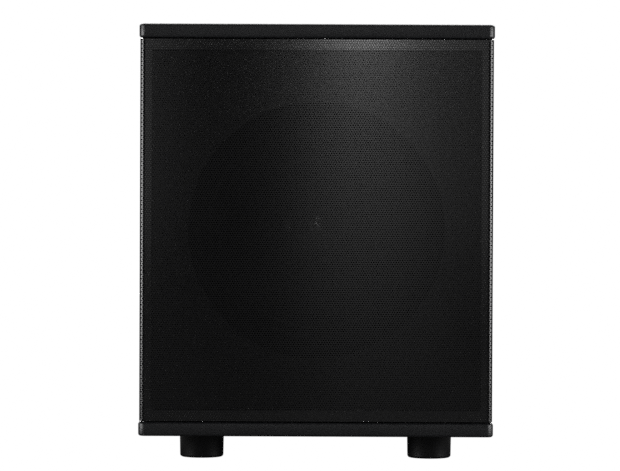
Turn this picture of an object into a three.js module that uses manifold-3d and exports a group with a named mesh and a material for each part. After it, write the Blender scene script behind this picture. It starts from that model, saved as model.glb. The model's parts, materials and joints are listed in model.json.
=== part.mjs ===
// An active subwoofer: a wooden cabinet with a wrap-round perforated grille, a ten inch driver
// and an amplifier module with its heatsink at the back.
// Millimetres. The front faces -Y, +X is to the right of somebody in front of it and +Z is up.
// The origin is on the floor, under the middle of the whole.
import * as THREE from 'three';
import { mergeVertices } from 'three/addons/utils/BufferGeometryUtils.js';
import Module from 'manifold-3d';

const wasm = await Module();
wasm.setup();

// ---- Driving dimensions ----

const GAP = 0.3; // left between pieces that touch
const HALF_WIDTH = 178; // of the top and bottom boards
const FRONT = -200; // y of the boards' front edge
const BACK = 172; // y of the cabinet's back
const REAR = 200; // y of the heatsink's fin tips
const FOOT_H = 24;
const CABINET_H = 413;
const BOARD_T = 14;
const BOARD_CORNER = 7; // plan radius of the boards' corners
const BOARD_EDGE = 2.5; // rounding of the boards' edges
const SIDE_T = 16;
const SIDE_INSET = 1; // side walls and grille stand in from the boards
const BAFFLE_T = 18;
const BAFFLE_FRONT = -183;

const SHEET_T = 1.2; // perforated sheet
const SHEET_BEND = 5; // outer radius of its two bends
const SHEET_RETURN = 33.5; // how far it runs back along the sides
const FRAME_W = 10; // rim that carries the sheet
const FRAME_CORNER = 4;

const FOOT_TOP_R = 22.7;
const FOOT_LOW_R = 22;
const FOOT_X = 115.5;
const FOOT_FRONT_Y = -152;
const FOOT_BACK_Y = 124;
const SCREW_SEAT = 14; // height of the shoulder that the foot's screw pulls on
const SCREW_R = 2.1;
const SCREW_HEAD_R = 6.4;

const DRIVER_Z = 230.5;
const FLANGE_R = 129;
const FLANGE_T = 5;
const CHASSIS_R = 117.4; // of the basket where it passes the baffle
const SURROUND_R = 108; // middle of the half roll
const ROLL_R = 9;
const ROLL_T = 1;
const CONE_R = 96; // where the cone meets its flat rim
const CONE_DEPTH = 47;
const NECK_R = 26.1;
const CAP_R = 38;
const CAP_RISE = 12;
const FORMER_R = 25.3;
const SPIDER_R = 75;
const GASKET_T = 2.3;

const PORT_Z = 369.5;
const PORT_R = 33;
const PORT_LIP_R = 46;
const PORT_LIP_SUNK = 3.4; // how far the lip is let into the back
const PORT_WALL = 2.5;
const PORT_START = 22; // y of the end inside the cabinet

const PLATE_Z = 183; // middle of the amplifier's plate
const PLATE_HALF_W = 140;
const PLATE_HALF_H = 130;
const PLATE_IN = 174.6; // y of its inner face
const PLATE_T = 3;
const PLATE_OUT = PLATE_IN + PLATE_T;
const CUTOUT_HALF_W = 125;
const CUTOUT_HALF_H = 115;
const TRAY_HALF_W = 122;
const TRAY_HALF_H = 112;
const TRAY_FRONT = 70;
const TRAY_T = 1.5;
const SOCKET_FACE = PLATE_OUT + GAP + 2.5; // outer face of the sockets' flanges

const SINK_Z = [217, 307];
const SINK_HALF_W = 120;
const SINK_BASE_T = 4;
const FIN_T = 2.2;
const FIN_COUNT = 15;

const INLET = { x: 95, z: 97 };
const SWITCH = { x: 95, z: 147 };
const INPUTS = [{ x: -56, z: 93 }, { x: -98, z: 93 }];
const OUTPUTS = [{ x: -56, z: 139 }, { x: -98, z: 139 }];
const LEVEL = { x: 36, z: 185 };
const CROSSOVER = { x: -8, z: 185 };
const PHASE = { x: -52, z: 185 };
const STATUS = { x: -98, z: 185 };
const XLR_R = 11.8; // barrel of a line socket
const XLR_BACK = 152;
const LATCH_TRAVEL = 1.4;
const KNOB_R = 8;
const KNOB_T = 14;
const SHAFT_R = 3;
const POT_FRONT = 162;

const BOARD_LOW = FOOT_H + BOARD_T; // top of the bottom board
const BOARD_HIGH = FOOT_H + CABINET_H - BOARD_T; // underside of the top board
const WALL_LOW = BOARD_LOW + GAP;
const WALL_HIGH = BOARD_HIGH - GAP;
const SIDE_OUT = HALF_WIDTH - SIDE_INSET;
const SHEET_FRONT = FRONT + 1;
const SHEET_BACK = SHEET_FRONT + SHEET_RETURN;
const WALL_FRONT = BAFFLE_FRONT + BAFFLE_T + GAP;

const FULL_TURN = 2 * Math.PI;
const ROUND = 32; // sides of the driver's circles
const SMALL_ROUND = 20; // sides of feet and sockets
const TINY_ROUND = 10; // sides of screws and pins

// ---- Finishes ----

const finish = (color, roughness, metalness = 0) =>
  new THREE.MeshStandardMaterial({ color, roughness, metalness });

const PAINT = finish('#1d1d1f', 0.62);
const GRILLE_COAT = finish('#1b1b1d', 0.5);
const RUBBER = finish('#161617', 0.7);
const BOARD_WOOD = finish('#8a6a45', 0.8);
const PULP = finish('#1a1a1b', 0.85);
const CAST = finish('#222325', 0.5, 0.4);
const STEEL = finish('#9b9da0', 0.35, 1);
const FERRITE = finish('#2b2b2d', 0.75);
const FORMER = finish('#c8a15a', 0.5);
const COPPER = finish('#b5713a', 0.35, 1);
const CLOTH = finish('#b98d3f', 0.85);
const ANODISED = finish('#18181a', 0.45, 0.6);
const ZINC = finish('#a9abae', 0.4, 1);
const CIRCUIT = finish('#1f5a34', 0.5);
const PLASTIC = finish('#141415', 0.45);
const NICKEL = finish('#bfc0c2', 0.3, 1);
const TAPE = finish('#c9b24a', 0.5);
const FOAM = finish('#2a2a2a', 0.95);
const LENS = finish('#3fae5a', 0.2);

// ---- Solids: joining, cutting and the basic forms ----

function solid(geometry) {
  const bare = new THREE.BufferGeometry();
  bare.setAttribute('position', geometry.getAttribute('position').clone());
  if (geometry.index) bare.setIndex(geometry.index.clone());
  const merged = mergeVertices(bare, 1e-4);
  const corners = merged.index.array;
  const kept = [];
  for (let i = 0; i < corners.length; i += 3) {
    const [a, b, c] = [corners[i], corners[i + 1], corners[i + 2]];
    if (a !== b && b !== c && c !== a) kept.push(a, b, c);
  }
  const vertProperties = Float32Array.from(merged.getAttribute('position').array);
  const mesh = new wasm.Mesh({ numProp: 3, vertProperties, triVerts: Uint32Array.from(kept) });
  return new wasm.Manifold(mesh);
}

function geometryOf(body) {
  const mesh = body.getMesh();
  const geometry = new THREE.BufferGeometry();
  geometry.setAttribute('position', new THREE.BufferAttribute(new Float32Array(mesh.vertProperties), 3));
  geometry.setIndex(new THREE.BufferAttribute(new Uint32Array(mesh.triVerts), 1));
  return geometry;
}

const join = (first, ...others) =>
  geometryOf(others.reduce((sum, other) => sum.add(solid(other)), solid(first)));

const cut = (first, ...others) =>
  geometryOf(others.reduce((left, other) => left.subtract(solid(other)), solid(first)));

function block([x0, x1], [y0, y1], [z0, z1]) {
  const box = new THREE.BoxGeometry(x1 - x0, y1 - y0, z1 - z0);
  return box.translate((x0 + x1) / 2, (y0 + y1) / 2, (z0 + z1) / 2);
}

function arc(x, y, radius, from, to, steps) {
  const points = [];
  for (let i = 0; i <= steps; i += 1) {
    const angle = from + ((to - from) * i) / steps;
    points.push(new THREE.Vector2(x + radius * Math.cos(angle), y + radius * Math.sin(angle)));
  }
  return points;
}

const circle = (x, y, radius, steps) => arc(x, y, radius, 0, FULL_TURN, steps).slice(0, -1);

function roundedRect([x0, x1], [y0, y1], radius, steps = 3) {
  const quarter = Math.PI / 2;
  return [
    ...arc(x1 - radius, y0 + radius, radius, -quarter, 0, steps),
    ...arc(x1 - radius, y1 - radius, radius, 0, quarter, steps),
    ...arc(x0 + radius, y1 - radius, radius, quarter, 2 * quarter, steps),
    ...arc(x0 + radius, y0 + radius, radius, 2 * quarter, 3 * quarter, steps),
  ];
}

/** An outline drawn in the plane across `axis`, given thickness from one place to another along it. */
function plate(axis, outline, holes, from, to, edge = 0) {
  const shape = new THREE.Shape(outline);
  for (const hole of holes) shape.holes.push(new THREE.Path(hole));
  const body = new THREE.ExtrudeGeometry(shape, {
    depth: to - from - 2 * edge,
    bevelEnabled: edge > 0,
    bevelThickness: edge,
    bevelSize: edge,
    bevelOffset: -edge,
    bevelSegments: 2,
    steps: 1,
  });
  body.translate(0, 0, edge);
  if (axis === 'y') return body.rotateX(Math.PI / 2).translate(0, to, 0);
  if (axis === 'x') return body.rotateX(Math.PI / 2).rotateZ(Math.PI / 2).translate(from, 0, 0);
  return body.translate(0, 0, from);
}

/** A closed profile of [radius, height] points, turned about a line along Y, or about Z if upright. */
function turned(profile, sides, { x = 0, y = 0, z = 0, upright = false } = {}) {
  let area = 0;
  profile.forEach(([r, h], i) => {
    const [nextR, nextH] = profile[(i + 1) % profile.length];
    area += r * nextH - nextR * h;
  });
  const ring = area > 0 ? [...profile] : [...profile].reverse();
  ring.push(ring[0]);
  const points = ring.map(([r, h]) => new THREE.Vector2(r, h));
  const body = new THREE.LatheGeometry(points, sides);
  if (upright) body.rotateX(Math.PI / 2);
  return body.translate(x, y, z);
}

const rod = (radius, [from, to], sides, place) =>
  turned([[0, from], [radius, from], [radius, to], [0, to]], sides, place);

const piece = (name, geometry, material) => {
  const mesh = new THREE.Mesh(geometry, material);
  mesh.name = name;
  return mesh;
};

// ---- Cabinet ----

function board(name, low, cuts = []) {
  const outline = roundedRect([-HALF_WIDTH, HALF_WIDTH], [FRONT, BACK], BOARD_CORNER);
  const body = plate('z', outline, [], low, low + BOARD_T, BOARD_EDGE);
  return piece(name, cuts.length ? cut(body, ...cuts) : body, PAINT);
}

const footPlaces = [
  ['front_left', -FOOT_X, FOOT_FRONT_Y],
  ['front_right', FOOT_X, FOOT_FRONT_Y],
  ['rear_left', -FOOT_X, FOOT_BACK_Y],
  ['rear_right', FOOT_X, FOOT_BACK_Y],
];

const SCREW_TIP = FOOT_H + 11;

function bottomBoard() {
  const pilot = [FOOT_H - 1, SCREW_TIP + 1];
  const holes = footPlaces.map(([, x, y]) => rod(SCREW_R + GAP, pilot, TINY_ROUND, { x, y, upright: true }));
  return board('bottom_board', FOOT_H, holes);
}

function sidePanel(name, side) {
  const across = side > 0 ? [SIDE_OUT - SIDE_T, SIDE_OUT] : [-SIDE_OUT, -SIDE_OUT + SIDE_T];
  return piece(name, block(across, [WALL_FRONT, BACK], [WALL_LOW, WALL_HIGH]), PAINT);
}

const INNER_HALF = SIDE_OUT - SIDE_T - GAP;
const BAFFLE_HALF = SIDE_OUT - SHEET_T - 0.5;

function rearPanel() {
  const walls = roundedRect([-INNER_HALF, INNER_HALF], [WALL_LOW, WALL_HIGH], 1, 1);
  const low = PLATE_Z - CUTOUT_HALF_H;
  const high = PLATE_Z + CUTOUT_HALF_H;
  const cutout = roundedRect([-CUTOUT_HALF_W, CUTOUT_HALF_W], [low, high], 5, 2);
  const portHole = circle(0, PORT_Z, PORT_LIP_R - 5, ROUND);
  const panel = plate('y', walls, [cutout, portHole], BACK - BAFFLE_T, BACK);
  const rebate = rod(PORT_LIP_R + GAP, [BACK - PORT_LIP_SUNK - GAP, BACK + 1], ROUND, { z: PORT_Z });
  return piece('rear_panel', cut(panel, rebate), PAINT);
}

function frontBaffle() {
  const panel = block(
    [-BAFFLE_HALF, BAFFLE_HALF],
    [BAFFLE_FRONT, BAFFLE_FRONT + BAFFLE_T],
    [WALL_LOW, WALL_HIGH],
  );
  const driverAxis = { z: DRIVER_Z };
  const start = BAFFLE_FRONT - 1;
  const through = rod(CHASSIS_R + 0.6, [start, BAFFLE_FRONT + BAFFLE_T + 1], ROUND, driverAxis);
  const rebate = rod(FLANGE_R + 0.6, [start, BAFFLE_FRONT + FLANGE_T + GAP], ROUND, driverAxis);
  return piece('front_baffle', cut(panel, through, rebate), PAINT);
}

function windowBrace() {
  const [braceBack, braceT, windowHalf, windowCorner] = [-15, 15, 110, 20];
  const walls = roundedRect([-INNER_HALF, INNER_HALF], [WALL_LOW, WALL_HIGH], 1, 1);
  const middle = (WALL_LOW + WALL_HIGH) / 2;
  const window = roundedRect([-windowHalf, windowHalf], [middle - 130, middle + 130], windowCorner);
  return piece('window_brace', plate('y', walls, [window], braceBack - braceT, braceBack), BOARD_WOOD);
}

function foot(name, x, y) {
  const top = FOOT_H - GAP;
  const recessR = 8;
  const boreR = SCREW_R + 0.5;
  const round = 2.5;
  const profile = [
    [recessR, 0],
    [FOOT_LOW_R - round, 0],
    [FOOT_LOW_R - 0.3 * round, 0.3 * round],
    [FOOT_LOW_R + 0.05, round],
    [FOOT_TOP_R, top],
    [boreR, top],
    [boreR, SCREW_SEAT],
    [recessR, SCREW_SEAT],
  ];
  return piece(name, turned(profile, SMALL_ROUND, { x, y, upright: true }), RUBBER);
}

function footScrew(name, x, y) {
  const headLow = SCREW_SEAT - 4;
  const headTop = SCREW_SEAT - GAP;
  const profile = [
    [0, headLow], [SCREW_HEAD_R - 1.4, headLow], [SCREW_HEAD_R, headTop],
    [SCREW_R, headTop], [SCREW_R, SCREW_TIP], [0, SCREW_TIP],
  ];
  return piece(name, turned(profile, TINY_ROUND, { x, y, upright: true }), ZINC);
}

function perforatedGrille() {
  const outer = SIDE_OUT;
  const inner = SIDE_OUT - SHEET_T;
  const quarter = Math.PI / 2;
  const bendY = SHEET_FRONT + SHEET_BEND;
  const bendX = outer - SHEET_BEND;
  const innerBend = SHEET_BEND - SHEET_T;
  const outline = [
    new THREE.Vector2(-outer, SHEET_BACK),
    ...arc(-bendX, bendY, SHEET_BEND, 2 * quarter, 3 * quarter, 4),
    ...arc(bendX, bendY, SHEET_BEND, 3 * quarter, 4 * quarter, 4),
    new THREE.Vector2(outer, SHEET_BACK),
    new THREE.Vector2(inner, SHEET_BACK),
    ...arc(bendX, bendY, innerBend, 4 * quarter, 3 * quarter, 4),
    ...arc(-bendX, bendY, innerBend, 3 * quarter, 2 * quarter, 4),
    new THREE.Vector2(-inner, SHEET_BACK),
  ];
  const sheet = plate('z', outline, [], BOARD_LOW + 1.2, BOARD_HIGH - 1.2);
  return piece('perforated_grille', sheet, GRILLE_COAT);
}

function grilleFrame() {
  const z = [BOARD_LOW + 1.3, BOARD_HIGH - 1.3];
  const flat = SIDE_OUT - SHEET_BEND; // the frame backs the sheet between its bends
  const outline = roundedRect([-flat, flat], z, FRAME_CORNER);
  const opening = roundedRect(
    [-BAFFLE_HALF + FRAME_W, BAFFLE_HALF - FRAME_W],
    [z[0] + FRAME_W, z[1] - FRAME_W],
    FRAME_CORNER,
  );
  const front = SHEET_FRONT + SHEET_T + GAP;
  return piece('grille_frame', plate('y', outline, [opening], front, BAFFLE_FRONT - GAP), PLASTIC);
}

function portTube() {
  const wallR = PORT_R + PORT_WALL;
  const flareR = 18;
  const flare = [];
  for (let i = 0; i <= 4; i += 1) {
    const angle = (i * Math.PI) / 10;
    flare.push([PORT_R + flareR * (1 - Math.cos(angle)), BACK - flareR + flareR * Math.sin(angle) + 1]);
  }
  const profile = [
    [PORT_R + 2.5, PORT_START],
    [PORT_R, PORT_START + 6],
    ...flare,
    [PORT_LIP_R, BACK + 0.6],
    [PORT_LIP_R, BACK - PORT_LIP_SUNK],
    [wallR + 4.8, BACK - PORT_LIP_SUNK],
    [wallR, BACK - 14],
    [wallR, PORT_START + 6],
    [PORT_R + 4, PORT_START],
  ];
  return piece('port_tube', turned(profile, ROUND, { z: PORT_Z }), PLASTIC);
}

// ---- Driver: depths run backwards from the baffle's front ----

const driverPart = (name, profile, material, sides = ROUND) =>
  piece(name, turned(profile.map(([r, d]) => [r, BAFFLE_FRONT + d]), sides, { z: DRIVER_Z }), material);

function driverBasket() {
  const profile = [
    [FLANGE_R, 0], [FLANGE_R, FLANGE_T], [CHASSIS_R, FLANGE_T], [CHASSIS_R, 8],
    [85, 54], [78, 79], [34, 79], [34, 76], [73, 76], [78, 56],
    [62, 55.5], [62, 52.3], [81, 52.3], [113, 8], [113, 0],
  ];
  const chassis = turned(profile.map(([r, d]) => [r, BAFFLE_FRONT + d]), ROUND);
  const windowSpan = THREE.MathUtils.degToRad(22);
  const windows = [];
  for (let i = 0; i < 6; i += 1) {
    const middle = Math.PI / 2 + (i * Math.PI) / 3;
    const wedge = [
      ...arc(0, 0, 76, middle - windowSpan, middle + windowSpan, 2),
      ...arc(0, 0, 126, middle + windowSpan, middle - windowSpan, 2),
    ];
    windows.push(plate('y', wedge, [], BAFFLE_FRONT + 13, BAFFLE_FRONT + 48));
  }
  const basket = cut(chassis, ...windows);
  return piece('driver_basket', basket.translate(0, 0, DRIVER_Z), CAST);
}

const LIP = 4; // glued rim of the surround
const GASKET_IN = SURROUND_R + ROLL_R + LIP + 0.4;

function surround() {
  const roll = (radius, from, to) =>
    arc(SURROUND_R, GAP + ROLL_T, radius, from, to, 5).map((p) => [p.x, -p.y]);
  const profile = [
    [SURROUND_R + ROLL_R + LIP, -GAP],
    [SURROUND_R + ROLL_R + LIP, -GAP - ROLL_T],
    ...roll(ROLL_R, 0, Math.PI),
    [CONE_R, -GAP - ROLL_T],
    [CONE_R, -GAP],
    ...roll(ROLL_R - ROLL_T, Math.PI, 0).map(([r, d]) => [r, Math.min(d, -GAP - 0.1)]),
  ];
  return driverPart('surround', profile, RUBBER);
}

function cone() {
  const profile = [
    [SURROUND_R - ROLL_R, 0], [CONE_R, 0], [NECK_R, CONE_DEPTH],
    [NECK_R, CONE_DEPTH + 1.5], [CONE_R + 0.6, 1.2], [SURROUND_R - ROLL_R, 1.2],
  ];
  return driverPart('cone', profile, PULP);
}

function dustCap() {
  const wall = 0.8;
  const rim = (CONE_DEPTH * (CONE_R - CAP_R)) / (CONE_R - NECK_R) - 1;
  const domeR = (CAP_R ** 2 + CAP_RISE ** 2) / (2 * CAP_RISE);
  const centre = rim - CAP_RISE + domeR;
  const dome = (radius, toR) => {
    const end = Math.asin(toR / radius);
    return [0, 1, 2, 3, 4].map((i) => {
      const turn = (end * i) / 4;
      return [radius * Math.sin(turn), centre - radius * Math.cos(turn)];
    });
  };
  const profile = [...dome(domeR, CAP_R), ...dome(domeR - wall, CAP_R - 0.6).reverse()];
  profile[0][0] = 0;
  return driverPart('dust_cap', profile, PULP, 24);
}

const ring = (inner, outer, from, to) => [[inner, from], [outer, from], [outer, to], [inner, to]];

function spider() {
  const profile = [];
  const steps = 8;
  const edge = (i, lift) => {
    const radius = NECK_R + 0.1 + ((SPIDER_R - NECK_R) * i) / steps;
    const flat = i === 0 || i >= steps - 2;
    const wave = flat ? 0 : 1.1 * (i % 2 === 0 ? 1 : -1);
    return [radius, 51 + lift + wave];
  };
  for (let i = 0; i <= steps; i += 1) profile.push(edge(i, 0.4));
  for (let i = steps; i >= 0; i -= 1) profile.push(edge(i, -0.2));
  return driverPart('spider', profile, CLOTH, 20);
}

function terminalStrip() {
  const z = DRIVER_Z - 91;
  const strip = block([-10, 10], [BAFFLE_FRONT + 58, BAFFLE_FRONT + 66], [z - 5, z + 5]);
  return piece('terminal_strip', strip, FERRITE);
}

/** The pair of wires from the driver's terminals to the amplifier's tray, through the brace. */
function driverLead() {
  const start = BAFFLE_FRONT + 66 + GAP;
  const terminal = DRIVER_Z - 91.5;
  const route = new THREE.CatmullRomCurve3([
    new THREE.Vector3(0, start, terminal),
    new THREE.Vector3(0, start + 16, terminal - 1),
    new THREE.Vector3(6, -60, 123),
    new THREE.Vector3(12, -20, 114),
    new THREE.Vector3(22, 30, 117),
    new THREE.Vector3(30, 54, 125),
    new THREE.Vector3(30, TRAY_FRONT - GAP, 126),
  ]);
  const section = new THREE.Shape(circle(0, 0, 3, 8));
  const lead = new THREE.ExtrudeGeometry(section, { extrudePath: route, steps: 26, bevelEnabled: false });
  return piece('driver_lead', lead, PLASTIC);
}

function driver() {
  const moving = new THREE.Group();
  moving.add(
    cone(),
    dustCap(),
    driverPart('voice_coil_former', ring(FORMER_R, FORMER_R + 0.5, 44, 97), FORMER, 24),
    driverPart('voice_coil', ring(NECK_R, NECK_R + 0.8, 71.3, 95.3), COPPER, 24),
  );
  const fixed = new THREE.Group();
  const yoke = [[10, 79], [24.6, 79], [24.6, 109.9], [75, 109.9], [75, 118], [10, 118]];
  fixed.add(
    driverPart('driver_gasket', ring(GASKET_IN, FLANGE_R - 0.4, -GASKET_T - GAP, -GAP), FOAM),
    driverBasket(),
    surround(),
    spider(),
    driverPart('top_plate', ring(27.6, 70, 79.3, 87.3), ZINC),
    driverPart('ferrite_magnet', ring(35, 78, 87.6, 109.6), FERRITE),
    driverPart('yoke', yoke, ZINC),
    terminalStrip(),
    driverLead(),
  );
  return [fixed, moving];
}

// ---- Amplifier ----

const around = ({ x, z }, halfW, halfH, radius = 1, steps = 1) =>
  roundedRect([x - halfW, x + halfW], [z - halfH, z + halfH], radius, steps);

function amplifierPlate() {
  const holes = [
    ...[...INPUTS, ...OUTPUTS].map(({ x, z }) => circle(x, z, 12.2, SMALL_ROUND)),
    ...[LEVEL, CROSSOVER].map(({ x, z }) => circle(x, z, 4.6, TINY_ROUND)),
    circle(STATUS.x, STATUS.z, 2.9, TINY_ROUND),
    around(INLET, 15, 17.5, 0.3),
    around(SWITCH, 6.9, 9.9, 0.3),
    around(PHASE, 5, 2.9, 0.3),
  ];
  const outline = around({ x: 0, z: PLATE_Z }, PLATE_HALF_W, PLATE_HALF_H, 4, 3);
  return piece('amp_plate', plate('y', outline, holes, PLATE_IN, PLATE_OUT), ANODISED);
}

function amplifierGasket() {
  const middle = { x: 0, z: PLATE_Z };
  const outline = around(middle, PLATE_HALF_W - 2, PLATE_HALF_H - 2, 3, 2);
  const opening = around(middle, TRAY_HALF_W + 4, TRAY_HALF_H + 4, 3, 2);
  return piece('amp_gasket', plate('y', outline, [opening], BACK + GAP, PLATE_IN - GAP), FOAM);
}

function heatsink() {
  const base = PLATE_OUT + GAP;
  const pitch = (2 * SINK_HALF_W - FIN_T) / (FIN_COUNT - 1);
  const outline = [new THREE.Vector2(-SINK_HALF_W, base), new THREE.Vector2(SINK_HALF_W, base)];
  for (let i = FIN_COUNT - 1; i >= 0; i -= 1) {
    const x = -SINK_HALF_W + i * pitch;
    const root = base + SINK_BASE_T;
    if (i < FIN_COUNT - 1) outline.push(new THREE.Vector2(x + FIN_T, root));
    outline.push(new THREE.Vector2(x + FIN_T, REAR), new THREE.Vector2(x, REAR));
    if (i > 0) outline.push(new THREE.Vector2(x, root));
  }
  return piece('heatsink', plate('z', outline, [], ...SINK_Z), ANODISED);
}

function amplifierTray() {
  const z = [PLATE_Z - TRAY_HALF_H, PLATE_Z + TRAY_HALF_H];
  const shell = block([-TRAY_HALF_W, TRAY_HALF_W], [TRAY_FRONT, PLATE_IN - GAP], z);
  const inside = block(
    [-TRAY_HALF_W + TRAY_T, TRAY_HALF_W - TRAY_T],
    [TRAY_FRONT + TRAY_T, PLATE_IN + 1],
    [z[0] + TRAY_T, z[1] - TRAY_T],
  );
  return piece('amp_tray', cut(shell, inside), STEEL);
}

function transformer() {
  const place = { x: 62, z: 223 };
  const floor = TRAY_FRONT + TRAY_T + GAP;
  const round = 8;
  const [inner, outer, height] = [20, 52, 46];
  const top = floor + height;
  const winding = [
    [inner, floor + round], [inner + round, floor], [outer - round, floor], [outer, floor + round],
    [outer, top - round], [outer - round, top], [inner + round, top], [inner, top - round],
  ];
  const clamp = top + GAP;
  const headLow = clamp + 2 + GAP;
  const headTop = clamp + 7;
  const bolt = [[0, floor + 1], [3, floor + 1], [3, headLow], [6.5, headLow], [6.5, headTop], [0, headTop]];
  return [
    piece('toroidal_transformer', turned(winding, 24, place), TAPE),
    piece('transformer_clamp', turned(ring(3.6, 26, clamp, clamp + 2), 24, place), ZINC),
    piece('transformer_bolt', turned(bolt, 6, place), ZINC),
  ];
}

function circuitry() {
  const [boardY, controlY] = [120, 150];
  const capacitor = (name, x) =>
    piece(name, rod(12.5, [boardY - 36, boardY - GAP], 16, { x, z: 151 }), PLASTIC);
  return [
    piece('amplifier_board', block([-114, 0], [boardY, boardY + 1.6], [81, 287]), CIRCUIT),
    piece('control_board', block([-116, 62], [controlY, controlY + 1.6], [75, 203]), CIRCUIT),
    capacitor('capacitor_1', -34),
    capacitor('capacitor_2', -66),
    piece('transistor_bar', block([-100, -20], [boardY + 1.6 + GAP, PLATE_IN - GAP], [241, 263]), STEEL),
  ];
}

function mainsInlet() {
  const { x, z } = INLET;
  const [bodyFront, cavityFloor, bladeTip] = [146, 160, 172];
  const flange = plate('y', around(INLET, 25, 19, 3, 2), [], PLATE_OUT + GAP, SOCKET_FACE);
  const body = block([x - 14.5, x + 14.5], [bodyFront, PLATE_OUT + 1], [z - 17, z + 17]);
  const cavity = block([x - 12, x + 12], [cavityFloor, SOCKET_FACE + 1], [z - 13.5, z + 3]);
  const drawerSlot = block([x - 11.7, x + 11.7], [cavityFloor - 3, SOCKET_FACE + 1], [z + 6.2, z + 14.5]);
  const blade = (dx, dz) =>
    block([x + dx - 1, x + dx + 1], [cavityFloor - 2, bladeTip], [z + dz - 2, z + dz + 2]);
  const housing = cut(join(flange, body), cavity, drawerSlot);
  const inlet = join(housing, blade(-7, -7.3), blade(7, -7.3), blade(0, -3.3));
  const drawerTop = z + 14.2;
  const grip = [SOCKET_FACE, SOCKET_FACE + 1.4];
  const drawer = join(
    block([x - 11.4, x + 11.4], [cavityFloor - 1, SOCKET_FACE + 0.4], [z + 6.5, drawerTop]),
    block([x - 4, x + 4], grip, [drawerTop - 1.8, drawerTop]),
  );
  return [piece('iec_inlet', inlet, PLASTIC), piece('fuse_drawer', drawer, PLASTIC)];
}

const ROCKER_TILT = THREE.MathUtils.degToRad(8);
const ROCKER_PIVOT_Y = 173.4;
const ROCKER_HALF = 6.9;

function powerSwitch() {
  const { x, z } = SWITCH;
  const face = PLATE_OUT + GAP + 2;
  const bezel = plate('y', around(SWITCH, 7.8, 10.8, 1.5, 2), [], PLATE_OUT + GAP, face);
  const body = block([x - 6.5, x + 6.5], [158, PLATE_OUT + 1], [z - 9.5, z + 9.5]);
  const well = block([x - 5.3, x + 5.3], [165, face + 1], [z - 8.3, z + 8.3]);
  const shoulder = ROCKER_HALF + 0.5;
  const profile = [
    new THREE.Vector2(5, 0),
    new THREE.Vector2(6.4, ROCKER_HALF),
    new THREE.Vector2(0.5, shoulder),
    ...arc(0, 0, 7, THREE.MathUtils.degToRad(110), THREE.MathUtils.degToRad(250), 6),
    new THREE.Vector2(0.5, -shoulder),
    new THREE.Vector2(6.4, -ROCKER_HALF),
  ];
  const rocker = piece('power_rocker', plate('x', profile, [], -5, 5), PLASTIC);
  rocker.position.set(x, ROCKER_PIVOT_Y, z);
  rocker.rotation.x = -ROCKER_TILT;
  return [piece('power_switch_body', cut(join(bezel, body), well), PLASTIC), rocker];
}

function socketShell(place) {
  const flange = plate('y', around(place, 13, 15.5, 3, 2), [], PLATE_OUT + GAP, SOCKET_FACE);
  return join(flange, rod(XLR_R, [XLR_BACK, PLATE_OUT + 1], SMALL_ROUND, place));
}

const PIN_CIRCLE = 4;
const pinPlaces = ({ x, z }, turn) =>
  [0, 1, 2].map((i) => {
    const angle = turn + (i * FULL_TURN) / 3;
    return { x: x + PIN_CIRCLE * Math.cos(angle), z: z + PIN_CIRCLE * Math.sin(angle) };
  });

function inputSocket(place, number) {
  const { x, z } = place;
  const latchFront = 172;
  const padFront = SOCKET_FACE + 2 * GAP + LATCH_TRAVEL - 0.2;
  const groove = turned(ring(7.6, 9.3, SOCKET_FACE - 15, SOCKET_FACE + 1), SMALL_ROUND, place);
  const contactHole = (at) => rod(1.5, [SOCKET_FACE - 9, SOCKET_FACE + 1], 8, at);
  const holes = pinPlaces(place, -Math.PI / 2).map(contactHole);
  const slot = block([x - 2.9, x + 2.9], [latchFront - 2, SOCKET_FACE + 1], [z + 9.75, z + 11.95]);
  const latch = join(
    block([x - 2.6, x + 2.6], [latchFront, padFront + 0.2], [z + 10, z + 11.6]),
    block([x - 4, x + 4], [padFront, padFront + 1.6], [z + 9.9, z + 14]),
  );
  return [
    piece(`xlr_input_${number}`, cut(socketShell(place), groove, slot, ...holes), PLASTIC),
    piece(`latch_tab_${number}`, latch, NICKEL),
  ];
}

function outputSocket(place, number) {
  const cup = rod(9.4, [SOCKET_FACE - 14, SOCKET_FACE + 1], SMALL_ROUND, place);
  const pin = (at) => rod(1.2, [SOCKET_FACE - 15, SOCKET_FACE - 4.6], 8, at);
  const pins = pinPlaces(place, Math.PI / 2).map(pin);
  return piece(`xlr_output_${number}`, join(cut(socketShell(place), cup), ...pins), PLASTIC);
}

function rotaryControl(name, place) {
  const { x, z } = place;
  const bore = rod(SHAFT_R + GAP, [POT_FRONT + 1.5, PLATE_OUT + 4], TINY_ROUND, place);
  const can = block([x - 8, x + 8], [POT_FRONT, PLATE_IN - GAP], [z - 8, z + 8]);
  const bushing = rod(SHAFT_R + 1.1, [PLATE_IN - 1, PLATE_OUT + 1.2], TINY_ROUND, place);
  const low = PLATE_OUT + 2.4;
  const high = low + KNOB_T;
  const shaftEnd = POT_FRONT + 2;
  const knobProfile = [
    [0, shaftEnd], [SHAFT_R, shaftEnd], [SHAFT_R, low], [KNOB_R + 1.2, low], [KNOB_R + 1.2, low + 2],
    [KNOB_R + 0.4, low + 3], [KNOB_R, high - 1], [KNOB_R - 1, high], [0, high],
  ];
  const pointer = block([x - 0.6, x + 0.6], [high - 0.8, high + 1], [z + 2, z + 9]);
  const knob = cut(turned(knobProfile, SMALL_ROUND, place), pointer);
  return [
    piece(`${name}_pot`, cut(join(can, bushing), bore), STEEL),
    piece(`${name}_knob`, knob, PLASTIC),
  ];
}

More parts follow.
